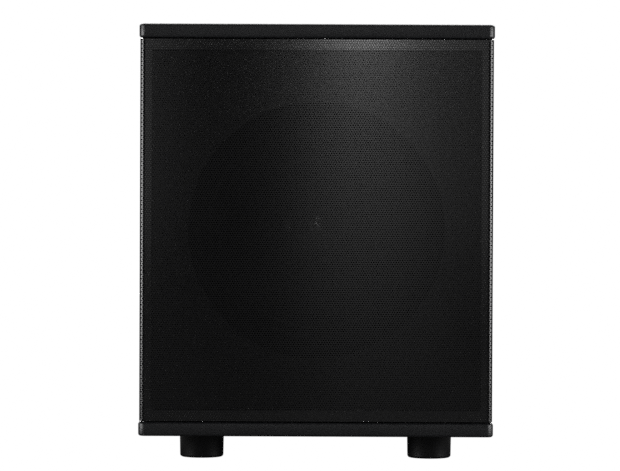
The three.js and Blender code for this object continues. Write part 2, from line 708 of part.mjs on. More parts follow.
function phaseSwitch() {
  const { x, z } = PHASE;
  const [innerY, travel] = [166, 4];
  const housing = block([x - 9, x + 9], [innerY, PLATE_IN - GAP], [z - 4.5, z + 4.5]);
  const well = block([x - 5, x + 5], [innerY + 1.5, PLATE_IN + 1], [z - 2.9, z + 2.9]);
  const rest = x - travel / 2;
  const slider = block([rest - 2, rest + 2], [innerY + 2, PLATE_OUT + 1.6], [z - 2.2, z + 2.2]);
  return [piece('phase_switch_body', cut(housing, well), STEEL), piece('phase_slider', slider, PLASTIC)];
}

function statusLight() {
  const profile = [
    [0, 164], [2.5, 164], [2.5, 171], [3.2, 171], [3.2, PLATE_IN - GAP], [2.5, PLATE_IN - GAP],
    [2.5, PLATE_OUT + 1], [1.5, PLATE_OUT + 2.2], [0, PLATE_OUT + 2.6],
  ];
  return piece('status_led', turned(profile, TINY_ROUND, STATUS), LENS);
}

// ---- The whole ----

const group = new THREE.Group();
group.add(
  board('top_board', BOARD_HIGH),
  bottomBoard(),
  sidePanel('side_panel_left', -1),
  sidePanel('side_panel_right', 1),
  rearPanel(),
  frontBaffle(),
  windowBrace(),
  grilleFrame(),
  perforatedGrille(),
  portTube(),
  ...driver(),
  amplifierPlate(),
  amplifierGasket(),
  heatsink(),
  amplifierTray(),
  ...transformer(),
  ...circuitry(),
  ...mainsInlet(),
  ...powerSwitch(),
  ...INPUTS.flatMap((place, i) => inputSocket(place, i + 1)),
  ...OUTPUTS.map((place, i) => outputSocket(place, i + 1)),
  ...rotaryControl('level', LEVEL),
  ...rotaryControl('crossover', CROSSOVER),
  ...phaseSwitch(),
  statusLight(),
);
for (const [where, x, y] of footPlaces) {
  group.add(foot(`foot_${where}`, x, y), footScrew(`foot_screw_${where}`, x, y));
}

export default group;
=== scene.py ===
# %% [markdown]
# # An active subwoofer
# A black box with overhanging boards above and below, a perforated steel grille wrapped round its
# two front corners, a ten inch driver behind it and an amplifier at the back. The solids that the
# frame brings settle every size. This notebook gives the object the surfaces that the eye meets.

import json
import math

import bmesh
import bpy
import numpy as np
from mathutils import Matrix, Vector


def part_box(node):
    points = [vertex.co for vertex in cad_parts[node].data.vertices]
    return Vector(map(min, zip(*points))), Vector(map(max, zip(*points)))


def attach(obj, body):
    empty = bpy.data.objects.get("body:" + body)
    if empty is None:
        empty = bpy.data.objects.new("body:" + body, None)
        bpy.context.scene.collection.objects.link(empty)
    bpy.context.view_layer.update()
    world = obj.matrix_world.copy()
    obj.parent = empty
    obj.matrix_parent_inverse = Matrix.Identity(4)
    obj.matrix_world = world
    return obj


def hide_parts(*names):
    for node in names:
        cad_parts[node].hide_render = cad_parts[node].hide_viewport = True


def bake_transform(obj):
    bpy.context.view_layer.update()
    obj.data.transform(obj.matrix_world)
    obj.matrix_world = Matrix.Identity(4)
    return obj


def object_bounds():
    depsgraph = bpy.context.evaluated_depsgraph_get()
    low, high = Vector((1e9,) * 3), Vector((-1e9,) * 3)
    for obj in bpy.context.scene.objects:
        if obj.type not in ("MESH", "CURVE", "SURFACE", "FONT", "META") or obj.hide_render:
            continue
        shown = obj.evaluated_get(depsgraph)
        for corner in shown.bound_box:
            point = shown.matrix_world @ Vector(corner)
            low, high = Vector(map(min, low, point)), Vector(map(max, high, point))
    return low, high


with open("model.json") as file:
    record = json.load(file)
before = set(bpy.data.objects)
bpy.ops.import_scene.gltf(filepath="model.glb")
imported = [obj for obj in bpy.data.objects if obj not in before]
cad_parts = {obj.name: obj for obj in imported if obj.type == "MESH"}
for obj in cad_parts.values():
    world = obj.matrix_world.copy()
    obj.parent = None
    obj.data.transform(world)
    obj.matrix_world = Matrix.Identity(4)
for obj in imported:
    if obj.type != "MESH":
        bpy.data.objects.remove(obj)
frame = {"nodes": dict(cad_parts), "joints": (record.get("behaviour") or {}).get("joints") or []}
cad_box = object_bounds()
nodes = frame["nodes"]
MM = 0.001

# %% [markdown]
# The camera looks along +Y from three metres, through a long lens, so the box shows only its front. It
# stands a little above the box's middle and looks down on it by less than a degree, which hides the
# rear feet behind the bottom board. It leans a quarter of a degree. It comes first, because everything
# after it is judged here.

# %% Camera
CAMERA_AWAY = 3.0
CAMERA_SIDE = -0.0064
CAMERA_HEIGHT = 0.27
AIM_HEIGHT = 0.2256
CAMERA_LEAN = math.radians(0.25)
LENS_MM = 174.2

camera_data = bpy.data.cameras.new("camera")
camera_data.sensor_width = 36
camera_data.lens = LENS_MM
camera = bpy.data.objects.new("camera", camera_data)
bpy.context.scene.collection.objects.link(camera)
tilt = math.atan((CAMERA_HEIGHT - AIM_HEIGHT) / CAMERA_AWAY)
upright = Matrix.Rotation(math.radians(90) - tilt, 4, "X") @ Matrix.Rotation(CAMERA_LEAN, 4, "Z")
stand = (CAMERA_SIDE, cad_box[0].y - CAMERA_AWAY, CAMERA_HEIGHT)
camera.matrix_world = Matrix.Translation(stand) @ upright
bpy.context.scene.camera = camera

# %% [markdown]
# Colours are written as the hex values that a painter would pick on a screen, and one function turns
# them into the linear numbers that the shaders work in. One more function adds a node with its
# settings and links, so that a material reads as a list of what it is made of.

# %% Colour and node helpers
def linear(hex_colour):
    channels = [int(hex_colour[i : i + 2], 16) / 255 for i in (1, 3, 5)]
    return [c / 12.92 if c <= 0.04045 else ((c + 0.055) / 1.055) ** 2.4 for c in channels] + [1.0]


def add(tree, kind, inputs=(), **settings):
    """Add a node. An input is given a value, or the socket or node that feeds it."""
    node = tree.nodes.new(kind)
    for key, value in settings.items():
        setattr(node, key, value)
    for key, value in dict(inputs).items():
        if isinstance(value, bpy.types.Node):
            value = value.outputs[0]
        if isinstance(value, bpy.types.NodeSocket):
            tree.links.new(value, node.inputs[key])
        else:
            node.inputs[key].default_value = value
    return node


def per_metre(size_mm):
    """The scale of a pattern whose features are about this many millimetres across."""
    return 1 / (size_mm * MM)


# %% [markdown]
# Most of the finishes here are one recipe with different numbers: a grain that the light catches, and
# a slow drift in colour and gloss that keeps a large face from looking computed. Metals, plastics and
# paints differ in their colour, their gloss, and how deep and how coarse the grain is.

# %% The general finish
NOISE_LOW, NOISE_HIGH = 0.3, 0.7  # nearly all of a noise lies between these
BLEND_LOW, BLEND_HIGH = 0.75, 1.25  # and nearly all of the sum of two


def begin(name):
    material = bpy.data.materials.new(name)
    material.use_nodes = True
    material.node_tree.nodes.clear()
    place = add(material.node_tree, "ShaderNodeTexCoord").outputs["Object"]
    return material, material.node_tree, place


def end(tree, shader):
    add(tree, "ShaderNodeOutputMaterial", {"Surface": shader})


def gloss_range(drift, rough):
    """A roughness that drifts between two values."""
    noise = {"Value": drift, "From Min": NOISE_LOW, "From Max": NOISE_HIGH}
    return {**noise, "To Min": rough[0], "To Max": rough[1]}


def finish(name, colours, rough, grain_mm, depth_mm=0.0, drift_mm=70, stretch=(1, 1, 1), **sockets):
    """A finish between two colours and two roughnesses, with its grain stretched along an axis."""
    material, tree, place = begin(name)
    laid = add(tree, "ShaderNodeMapping", {"Vector": place, "Scale": stretch})
    grain_kind = {"Vector": laid, "Scale": per_metre(grain_mm), "Detail": 3.0, "Roughness": 0.6}
    grain = add(tree, "ShaderNodeTexNoise", grain_kind)
    drift = add(tree, "ShaderNodeTexNoise", {"Vector": place, "Scale": per_metre(drift_mm), "Detail": 4.0})
    both = add(tree, "ShaderNodeMath", {0: grain, 1: drift}, operation="ADD")
    spread_ends = {"Value": both, "From Min": BLEND_LOW, "From Max": BLEND_HIGH}
    spread = add(tree, "ShaderNodeMapRange", spread_ends)
    mix = {0: spread, 6: linear(colours[0]), 7: linear(colours[1])}
    colour = add(tree, "ShaderNodeMix", mix, data_type="RGBA").outputs[2]
    gloss = add(tree, "ShaderNodeMapRange", gloss_range(drift, rough))
    shader_inputs = {"Base Color": colour, "Roughness": gloss}
    if depth_mm:
        relief = {"Height": grain, "Distance": depth_mm * MM, "Strength": 1.0}
        shader_inputs["Normal"] = add(tree, "ShaderNodeBump", relief)
    words = {key.replace("_", " ").title().replace("Ior", "IOR"): value for key, value in sockets.items()}
    end(tree, add(tree, "ShaderNodeBsdfPrincipled", {**shader_inputs, **words}))
    return material


# %% [markdown]
# The cabinet is MDF under a sprayed texture paint: a black lacquer that dries into small beads about a
# millimetre and a half apart. Their tips are a little paler than the hollows between them, and each
# turns a lamp to the eye at its own angle, which is why such a box sparkles faintly along its edges.
# Cells of a Voronoi pattern give the beads, and a finer noise the mist that lands between them.

# %% Texture paint
BEAD_MM, MIST_MM, DRIFT_MM = 1.5, 0.9, 90
BEAD_RELIEF = 0.12 * MM
PAINT_ROUGH = (0.33, 0.41)
HOLLOW, TIP = -0.2, 0.45  # the height of a hollow between beads, and of a bead's tip


def texture_paint():
    material, tree, place = begin("texture_paint")
    bead_kind = {"Vector": place, "Scale": per_metre(BEAD_MM), "Randomness": 1.0}
    beads = add(tree, "ShaderNodeTexVoronoi", bead_kind, feature="SMOOTH_F1")
    mist = add(tree, "ShaderNodeTexNoise", {"Vector": place, "Scale": per_metre(MIST_MM), "Detail": 2.0})
    drift = add(tree, "ShaderNodeTexNoise", {"Vector": place, "Scale": per_metre(DRIFT_MM), "Detail": 3.0})
    height = add(tree, "ShaderNodeMath", {0: mist, 1: beads.outputs["Distance"]}, operation="SUBTRACT")
    relief = {"Height": height, "Distance": BEAD_RELIEF, "Strength": 0.9}
    bump = add(tree, "ShaderNodeBump", relief)
    tips = {"Value": height, "From Min": HOLLOW, "From Max": TIP}
    speck = add(tree, "ShaderNodeMapRange", tips)
    mix = {0: speck, 6: linear("#101012"), 7: linear("#1e1f21")}
    colour = add(tree, "ShaderNodeMix", mix, data_type="RGBA").outputs[2]
    rough = add(tree, "ShaderNodeMapRange", gloss_range(drift, PAINT_ROUGH))
    parts = {"Base Color": colour, "Roughness": rough, "Normal": bump, "IOR": 1.5}
    end(tree, add(tree, "ShaderNodeBsdfPrincipled", parts))
    return material


# %% [markdown]
# The spider is cotton cloth stiffened with phenolic resin: a plain weave with about one thread in
# 0.6 mm. It is drawn here nearly ten times as coarse, so that it still shows. Two waves at right angles
# cross over and under.

# %% Woven cloth
WAVE_UNIT = math.tau / 20  # a wave texture of scale one repeats in this length
WEAVE_MM = 5.6549


def woven_cloth(name, colours, repeat_mm):
    material, tree, place = begin(name)
    scale = per_metre(repeat_mm) * WAVE_UNIT
    ways = [
        add(tree, "ShaderNodeTexWave", {"Vector": place, "Scale": scale}, bands_direction=way)
        for way in ("X", "Z")
    ]
    weave = add(tree, "ShaderNodeMath", {0: ways[0], 1: ways[1]}, operation="MULTIPLY")
    mix = {0: weave, 6: linear(colours[0]), 7: linear(colours[1])}
    colour = add(tree, "ShaderNodeMix", mix, data_type="RGBA").outputs[2]
    bump = add(tree, "ShaderNodeBump", {"Height": weave, "Distance": 0.2 * MM, "Strength": 1.0})
    parts = {"Base Color": colour, "Normal": bump, "Roughness": 0.8}
    end(tree, add(tree, "ShaderNodeBsdfPrincipled", parts))
    return material


# %% [markdown]
# A circuit board is green solder mask over copper tracks. The tracks run square to the board's edges,
# which a brick pattern gives at about 2.5 mm, and they show as a paler, slightly raised green.

# %% Circuit laminate
BRICK_MM = 10
TRACK_ROW = 0.25  # of a brick's ten millimetres


def circuit_laminate():
    material, tree, place = begin("circuit_laminate")
    turned = add(tree, "ShaderNodeMapping", {"Vector": place, "Rotation": (math.radians(90), 0, 0)})
    track_kind = {
        "Vector": turned, "Scale": per_metre(BRICK_MM), "Mortar Size": 0.06, "Brick Width": 0.9,
        "Row Height": TRACK_ROW, "Color1": linear("#0e3d22"), "Color2": linear("#124a2a"),
        "Mortar": linear("#2f7a45"),
    }
    tracks = add(tree, "ShaderNodeTexBrick", track_kind)
    relief = {"Height": tracks.outputs["Fac"], "Distance": 0.05 * MM, "Strength": 0.8}
    parts = {"Base Color": tracks, "Roughness": 0.35, "Normal": add(tree, "ShaderNodeBump", relief)}
    end(tree, add(tree, "ShaderNodeBsdfPrincipled", parts))
    return material


# %% [markdown]
# The list of finishes. Each is named for what the real one is and how its surface was made. The
# numbers start from typical values and were then matched under this light.

# %% All the finishes
PAINT = texture_paint()
# Satin powder coat on the sheet. The sheet is rolled with its grain across, and its fine ridges smear
# every reflection up and down, which draws a lamp out into a long upright band.
GRILLE_COAT = finish("satin_powder_coat", ("#0c0c0d", "#121213"), (0.165, 0.18), 3.0, 0.0, 120,
                     anisotropic=0.72, anisotropic_rotation=0.25)
# The frame behind it is moulded smooth, so it shows brighter through the holes.
GLOSSY_ABS = finish("smooth_moulded_abs", ("#1c1c1e", "#242426"), (0.1, 0.14), 2.0, 0.002, ior=2.0)
# The baffle is sealed with a gloss lacquer, so that round the driver it shines through the holes.
LACQUER = finish("gloss_lacquered_mdf", ("#2a2a2c", "#343436"), (0.15, 0.19), 1.2, 0.003, ior=1.8)
# Moulded EPDM rubber of the feet: a faint bloom and a fine matt texture from the tool.
FOOT_RUBBER = finish("moulded_epdm_rubber", ("#0a0a0b", "#101011"), (0.24, 0.32), 0.6, 0.008)
# Butyl of the surround: softer than the feet, with a dull sheen.
SURROUND_RUBBER = finish("butyl_rubber", ("#111112", "#191919"), (0.38, 0.5), 1.0, 0.015)
# Pressed paper pulp: short fibres that lie every way, dyed black.
PULP = finish("pressed_paper_pulp", ("#141414", "#26262a"), (0.6, 0.75), 0.8, 0.08)
# The cap is the same pulp under a coat of lacquer, so it keeps one small glint.
LACQUERED_PULP = finish("lacquered_pulp_cap", ("#141416", "#1e1e20"), (0.12, 0.15), 1.5, 0.002, ior=2.0)
# Die cast aluminium with a black wrinkle enamel.
CASTING = finish("wrinkle_enamelled_casting", ("#141416", "#232326"), (0.45, 0.6), 1.2, 0.06)
# Zinc plate with a clear passivation, a little blue and yellow by turns.
ZINC = finish("passivated_zinc_plate", ("#8f939a", "#b3b0a3"), (0.3, 0.45), 2.0, 0.01, 25, metallic=1.0)
# Folded steel of the tray, with the rolling direction across it.
STEEL = finish("cold_rolled_steel", ("#7f8387", "#a3a6a8"), (0.32, 0.46), 1.2, 0.012, 60, (0.05, 1, 1),
               metallic=1.0)
# Sintered ferrite: ground flat, dark, with pits between its grains.
FERRITE = finish("sintered_ferrite", ("#1c1c1f", "#2c2d30"), (0.5, 0.7), 0.9, 0.05)
# Polyimide film of the coil former, amber and smooth.
FILM = finish("polyimide_film", ("#8a4a12", "#b0651d"), (0.25, 0.35), 6.0, coat_weight=0.4)
# Enamelled copper: one turn of wire beside the next, drawn at 0.5 mm.
COPPER = finish("enamelled_copper_winding", ("#7a3418", "#b4602f"), (0.25, 0.4), 0.5, 0.1, 40,
                (0.05, 1, 0.05), metallic=1.0)
CLOTH = woven_cloth("phenolic_cotton_cloth", ("#7a5a22", "#b98f46"), WEAVE_MM)
# Black anodised aluminium keeps the sheen of the metal under the dye.
ANODISED = finish("black_anodised_aluminium", ("#2a2b2e", "#3a3c40"), (0.34, 0.46), 0.5, 0.012, 50,
                  metallic=0.7)
LAMINATE = circuit_laminate()
# Moulded ABS with a spark eroded texture.
ABS = finish("moulded_abs", ("#121214", "#1b1b1e"), (0.4, 0.52), 0.5, 0.02)
# Glass filled nylon of the sockets is duller.
NYLON = finish("glass_filled_nylon", ("#18181a", "#222224"), (0.48, 0.6), 0.4, 0.02)
NICKEL = finish("nickel_plate", ("#b9b4aa", "#cfccc4"), (0.18, 0.28), 3.0, 0.004, 20, metallic=1.0)
GOLD = finish("gold_flash", ("#b98a3c", "#d4a856"), (0.2, 0.3), 3.0, 0.003, 20, metallic=1.0)
# Black oxide of the screws: a thin grey black skin on steel.
OXIDE = finish("black_oxide", ("#38393c", "#505155"), (0.35, 0.5), 0.8, 0.01, 12, metallic=0.8)
# Polyester tape wound round the transformer, in overlapping turns.
TAPE = finish("polyester_winding_tape", ("#a8862a", "#d2b04a"), (0.3, 0.45), 4.0, 0.12, 30)
FOAM = finish("closed_cell_foam", ("#101011", "#1d1d1e"), (0.8, 0.95), 0.5, 0.12)
MDF = finish("raw_mdf", ("#7d5c3b", "#a07c55"), (0.75, 0.9), 0.7, 0.05, 40)
ALUMINIUM = finish("milled_aluminium", ("#9a9ca0", "#bfc1c4"), (0.25, 0.4), 0.8, 0.01, 30, (1, 1, 0.06),
                   metallic=1.0)
PRINT = finish("screen_printed_ink", ("#b8b8b6", "#d0d0ce"), (0.5, 0.6), 0.8, 0.005)
LENS = finish("tinted_light_pipe", ("#1f7d38", "#2f9a4a"), (0.12, 0.2), 3.0, transmission_weight=0.4)
print("finishes:", len(bpy.data.materials))

# %% [markdown]
# Every new piece goes through the same door: its mesh is made an object at the origin, its round
# surfaces are shaded smooth up to an angle, it is told which body it rides on, the solids that it
# stands for are hidden, and it is given its finish. A piece between two bodies rides on neither.

# %% From a bmesh to a finished piece
SAME_PLACE = 1e-6  # metres: points nearer than this are one point
pieces_made = {}


def finished(name, bm, material, stands_for=(), body="cabinet", smooth=35):
    bmesh.ops.remove_doubles(bm, verts=bm.verts, dist=SAME_PLACE)
    bmesh.ops.recalc_face_normals(bm, faces=bm.faces)
    mesh = bpy.data.meshes.new(name)
    bm.to_mesh(mesh)
    bm.free()
    return placed(name, mesh, material, stands_for, body, smooth)


def placed(name, mesh, material, stands_for=(), body="cabinet", smooth=35):
    mesh.materials.clear()
    mesh.materials.append(material)
    mesh.shade_smooth()
    mesh.set_sharp_from_angle(angle=math.radians(smooth))
    piece = bpy.data.objects.new(name, mesh)
    bpy.context.scene.collection.objects.link(piece)
    if body != "between":
        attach(piece, body)
    if stands_for:
        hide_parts(*stands_for)
    mesh.calc_loop_triangles()
    pieces_made[name] = len(mesh.loop_triangles)
    return piece


# %% [markdown]
# Three ways of making a shape carry nearly the whole object. The first two are a slab, which is a cube
# with its edges rounded, and a spun form, which is a profile turned about a line as on a lathe. Both can
# be poured into another bmesh, so that one piece may be made of several.

# %% Slabs and spun forms
def round_edges(bm, edges, radius, segments=3):
    bmesh.ops.bevel(bm, geom=edges, offset=radius, offset_type="OFFSET", segments=segments, profile=0.5,
                    affect="EDGES", material=-1, clamp_overlap=True)


def slab(low, high, edge=0.4 * MM, segments=2, into=None):
    """A box between two corners, its edges rounded, on its own or added to another bmesh."""
    bm = bmesh.new()
    bmesh.ops.create_cube(bm, size=1.0)
    low, high = Vector(low), Vector(high)
    bmesh.ops.scale(bm, vec=high - low, verts=bm.verts)
    bmesh.ops.translate(bm, vec=(low + high) / 2, verts=bm.verts)
    if edge:
        round_edges(bm, bm.edges[:], edge, segments)
    return bm if into is None else poured(bm, into)


def poured(bm, into):
    """Add everything in one bmesh to another."""
    carrier = bpy.data.meshes.new("carrier")
    bm.to_mesh(carrier)
    bm.free()
    into.from_mesh(carrier)
    bpy.data.meshes.remove(carrier)
    return into


def spun(profile, centre, axis="Y", steps=96, angle=math.tau, start=0.0, into=None):
    """A profile of (radius, place along the axis), turned about a line through centre.
    A profile that begins and ends on the axis stays open there, and any other closes on itself."""
    bm = bmesh.new()
    along_y = axis == "Y"
    line = Vector((0, 1, 0)) if along_y else Vector((0, 0, 1))
    ring = [
        bm.verts.new((centre[0] + r, a, centre[2]) if along_y else (centre[0] + r, centre[1], a))
        for r, a in profile
    ]
    loop = ring if profile[0][0] < SAME_PLACE else ring + ring[:1]
    edges = [bm.edges.new(pair) for pair in zip(loop, loop[1:])]
    if start:
        turn = Matrix.Rotation(start, 3, line)
        bmesh.ops.rotate(bm, cent=centre, matrix=turn, verts=bm.verts)
    whole = angle >= math.tau
    if not whole:
        bmesh.ops.contextual_create(bm, geom=edges)
    geom = ring + edges if whole else bm.verts[:] + bm.edges[:] + bm.faces[:]
    bmesh.ops.spin(bm, geom=geom, cent=centre, axis=line, dvec=(0, 0, 0), angle=angle, steps=steps,
                   use_merge=whole, use_normal_flip=False, use_duplicate=False)
    bmesh.ops.remove_doubles(bm, verts=bm.verts, dist=SAME_PLACE)
    bmesh.ops.recalc_face_normals(bm, faces=bm.faces)
    return bm if into is None else poured(bm, into)


def bow(centre, radius, start, stop, steps):
    """Points of an arc in a profile's own plane."""
    turns = [math.radians(start + (stop - start) * i / steps) for i in range(steps + 1)]
    return [(centre[0] + radius * math.cos(t), centre[1] + radius * math.sin(t)) for t in turns]


# %% [markdown]
# The third is a plate: a flat outline with holes. Booleans could cut the holes, but a filled 2D curve
# makes it in one step, because it leaves the holes open and rounds every edge by itself.

# %% Plates with holes
ARC_HANDLE = 0.5523  # handle length that bends a quarter of a curve into a circle


def loop_points(x, z, half_w, half_h, radius):
    """Knots of a rounded rectangle, each with its two handles. Equal halves and radius make a circle."""
    knots = []
    for i in range(4):
        cx = x + (half_w - radius) * (1, -1, -1, 1)[i]
        cz = z + (half_h - radius) * (1, 1, -1, -1)[i]
        for turn, way in ((i, 1), (i + 1, -1)):
            a = turn * math.pi / 2
            knot = Vector((cx + radius * math.cos(a), cz + radius * math.sin(a), 0))
            pull = Vector((-math.sin(a), math.cos(a), 0)) * way * ARC_HANDLE * radius
            knots.append([knot, knot + pull, way])
    merged = []
    for knot, handle, way in knots:
        left, right = (None, handle) if way > 0 else (handle, None)
        if merged and (merged[-1][0] - knot).length < SAME_PLACE:
            merged[-1][2] = right
        else:
            merged.append([knot, left, right])
    if (merged[0][0] - merged[-1][0]).length < SAME_PLACE:
        merged[0][1] = merged.pop()[1]
    for i, knot in enumerate(merged):
        before, after = merged[i - 1][0], merged[(i + 1) % len(merged)][0]
        knot[1] = knot[1] or knot[0].lerp(before, 1 / 3)
        knot[2] = knot[2] or knot[0].lerp(after, 1 / 3)
    return merged


def round_hole(x, z, radius):
    return (x, z, radius, radius, radius)


def plate(outlines, front, back, edge=0.0, fineness=8, into=None):
    """A sheet standing across Y from front to back. Its first outline is its rim and the rest are holes.
    An outline is (x, z, half width, half height, corner radius), or a list of corners."""
    curve = bpy.data.curves.new("outline", "CURVE")
    curve.dimensions, curve.fill_mode = "2D", "BOTH"
    curve.resolution_u, curve.bevel_resolution = fineness, 1
    curve.extrude = (back - front) / 2 - edge
    curve.bevel_depth, curve.offset = edge, -edge
    for outline in outlines:
        corners = isinstance(outline, list)
        spline = curve.splines.new("POLY" if corners else "BEZIER")
        knots = outline if corners else loop_points(*outline)
        points = spline.points if corners else spline.bezier_points
        points.add(len(knots) - 1)
        for point, knot in zip(points, knots):
            if corners:
                point.co = (*knot, 0, 1)
            else:
                point.handle_left_type = point.handle_right_type = "FREE"
                point.co, point.handle_left, point.handle_right = knot
        spline.use_cyclic_u = True
    holder = bpy.data.objects.new("outline", curve)
    mesh = bpy.data.meshes.new_from_object(holder)
    bm = bmesh.new()
    bm.from_mesh(mesh)
    bpy.data.objects.remove(holder)
    bpy.data.curves.remove(curve)
    bpy.data.meshes.remove(mesh)
    bmesh.ops.remove_doubles(bm, verts=bm.verts, dist=SAME_PLACE)
    bmesh.ops.rotate(bm, cent=(0, 0, 0), matrix=Matrix.Rotation(math.pi / 2, 3, "X"), verts=bm.verts)
    bmesh.ops.translate(bm, vec=(0, (front + back) / 2, 0), verts=bm.verts)
    return bm if into is None else poured(bm, into)


def middle(node):
    low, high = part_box(node)
    return (low + high) / 2


# %% [markdown]
# The two boards are what the hand meets first: MDF with its corners rounded in plan and a softer
# rounding along every edge. The plan corners are bevelled first, so the second bevel can run round
# them in one sweep.

# %% Boards
PLAN_CORNER = 7 * MM
BOARD_EDGE = 2.4 * MM


def rise(edge):
    return abs(edge.verts[0].co.z - edge.verts[1].co.z)


def board(name):
    low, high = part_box(name)
    bm = slab(low, high, edge=0)
    round_edges(bm, [e for e in bm.edges if rise(e) > SAME_PLACE], PLAN_CORNER, 8)
    round_edges(bm, [e for e in bm.edges if rise(e) < SAME_PLACE], BOARD_EDGE, 5)
    finished(name, bm, PAINT, [name], smooth=50)


for board_name in ("top_board", "bottom_board"):
    board(board_name)

# %% [markdown]
# The walls stand a millimetre in from the boards. Their long edges are only broken with sandpaper
# before painting, so they get a small rounding.

# %% Walls
SANDED_EDGE = 0.8 * MM
for name in ("side_panel_left", "side_panel_right"):
    low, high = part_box(name)
    finished(name, slab(low, high, SANDED_EDGE, 3), PAINT, [name])

# %% [markdown]
# The back wall has a rectangular opening for the amplifier and a round one for the port, with a
# shallow step round it where the port's lip lies flush. The baffle has the same kind of step for the
# driver's flange. Two plates of different holes, one behind the other, make such a step.

# %% Back wall and baffle
port = middle("port_tube")
port_low, port_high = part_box("port_tube")
PORT_LIP = (port_high.x - port_low.x) / 2
tray_low, tray_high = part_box("amp_tray")
amp = middle("amp_plate")
LIP_STEP = 3.7 * MM
TRAY_ROOM = 3 * MM
WINDOW_CORNER = 5 * MM
THROAT = 41 * MM
FIT = 0.3 * MM  # what one piece is kept clear of the next

low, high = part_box("rear_panel")
wall_middle = (low + high) / 2
rim = (wall_middle.x, wall_middle.z, (high.x - low.x) / 2, (high.z - low.z) / 2, 1 * MM)
window = (amp.x, amp.z, (tray_high.x - tray_low.x) / 2 + TRAY_ROOM,
          (tray_high.z - tray_low.z) / 2 + TRAY_ROOM, WINDOW_CORNER)
bm = plate([rim, window, round_hole(port.x, port.z, THROAT)], low.y, high.y - LIP_STEP, fineness=16)
lip_hole = round_hole(port.x, port.z, PORT_LIP + FIT)
plate([rim, window, lip_hole], high.y - LIP_STEP, high.y, fineness=16, into=bm)
finished("rear_panel", bm, PAINT, ["rear_panel"])

hub = middle("driver_basket")
baffle_low, baffle_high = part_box("front_baffle")
FACE = baffle_low.y  # the driver's depths are counted from here
FLANGE = 129 * MM
FLANGE_HOLE, BASKET_HOLE = FLANGE + 0.6 * MM, 118 * MM
SEAT = FACE + 5.3 * MM
rim = (hub.x, (baffle_low.z + baffle_high.z) / 2, (baffle_high.x - baffle_low.x) / 2,
       (baffle_high.z - baffle_low.z) / 2, 0.5 * MM)
bm = plate([rim, round_hole(hub.x, hub.z, FLANGE_HOLE)], FACE, SEAT, fineness=24)
plate([rim, round_hole(hub.x, hub.z, BASKET_HOLE)], SEAT, baffle_high.y, fineness=24, into=bm)
finished("front_baffle", bm, LACQUER, ["front_baffle"])

# %% [markdown]
# ## The grille
# The sheet is punched with 1.5 mm holes on a 2.5 mm staggered pitch. A pattern of dots in the material
# would be lighter, but only real holes show from every side what lies behind them, so they are built. One
# cell is a hexagonal hole inside a hexagonal piece of web, since hexagons tile. The cell is repeated
# into a strip of twenty two rows, trimmed straight, wrapped round the two bends and given its
# thickness. Eight copies of the strip, one above the other, make the sheet.

# %% Perforated strip
sheet_low, sheet_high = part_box("perforated_grille")
SHEET_T = 1.2 * MM
BEND = 5 * MM
ROWS, STRIPS = 176, 8
PITCH = 2.5 * MM
HOLE = 0.78 * MM  # centre to corner of the six sided hole, just outside the round one's radius
HEM = 1.4 * MM
row_step = (sheet_high.z - sheet_low.z) / ROWS
strip_rows = ROWS // STRIPS
flat_half = sheet_high.x - BEND
arc_length = BEND * math.pi / 2
return_length = sheet_high.y - HEM / 2 - (sheet_low.y + BEND)
half_length = flat_half + arc_length + return_length


def repeated(bm, step, count):
    """Copy what the bmesh holds into a row of count."""
    first = bm.verts[:] + bm.edges[:] + bm.faces[:]
    for i in range(1, count):
        copy = bmesh.ops.duplicate(bm, geom=first)["geom"]
        bmesh.ops.translate(bm, vec=step * i, verts=[g for g in copy if isinstance(g, bmesh.types.BMVert)])


def perforated_strip():
    """One flat strip of the sheet in X and Z, its rows of holes staggered by half a pitch."""
    bm = bmesh.new()
    bmesh.ops.create_circle(bm, segments=6, radius=HOLE)
    web = bmesh.ops.create_circle(bm, segments=6, radius=PITCH / math.sqrt(3))["verts"]
    stretch = row_step / (PITCH * math.sqrt(3) / 2)
    bmesh.ops.scale(bm, vec=(1, stretch, 1), verts=web)
    bmesh.ops.bridge_loops(bm, edges=bm.edges[:])
    columns = math.ceil(half_length / PITCH) + 1
    bmesh.ops.translate(bm, vec=(-PITCH * columns, 0, 0), verts=bm.verts)
    repeated(bm, Vector((PITCH, 0, 0)), 2 * columns)
    second = bmesh.ops.duplicate(bm, geom=bm.verts[:] + bm.edges[:] + bm.faces[:])["geom"]
    shifted = [g for g in second if isinstance(g, bmesh.types.BMVert)]
    bmesh.ops.translate(bm, vec=(PITCH / 2, row_step, 0), verts=shifted)
    bmesh.ops.translate(bm, vec=(0, -row_step / 2, 0), verts=bm.verts)
    repeated(bm, Vector((0, 2 * row_step, 0)), strip_rows // 2 + 1)
    bmesh.ops.remove_doubles(bm, verts=bm.verts, dist=SAME_PLACE)
    for place, way in (((0, 0, 0), (0, -1, 0)), ((0, strip_rows * row_step, 0), (0, 1, 0)),
                       ((-half_length, 0, 0), (-1, 0, 0)), ((half_length, 0, 0), (1, 0, 0))):
        everything = bm.verts[:] + bm.edges[:] + bm.faces[:]
        bmesh.ops.bisect_plane(bm, geom=everything, plane_co=place, plane_no=way, clear_outer=True)
    bmesh.ops.rotate(bm, cent=(0, 0, 0), matrix=Matrix.Rotation(math.pi / 2, 3, "X"), verts=bm.verts)
    return bm


def wrapped(mesh):
    """Bend a flat strip round the two corners, so that it is the outer face of the sheet."""
    flat = np.empty(len(mesh.vertices) * 3)
    mesh.vertices.foreach_get("co", flat)
    flat = flat.reshape(-1, 3)
    side, along = np.sign(flat[:, 0]), np.abs(flat[:, 0])
    turn = np.clip((along - flat_half) / BEND, 0, math.pi / 2)
    back = np.clip(along - flat_half - arc_length, 0, None)
    bent = np.column_stack([
        side * (np.minimum(along, flat_half) + BEND * np.sin(turn)),
        sheet_low.y + BEND * (1 - np.cos(turn)) + back,
        flat[:, 2],
    ])
    mesh.vertices.foreach_set("co", bent.ravel())


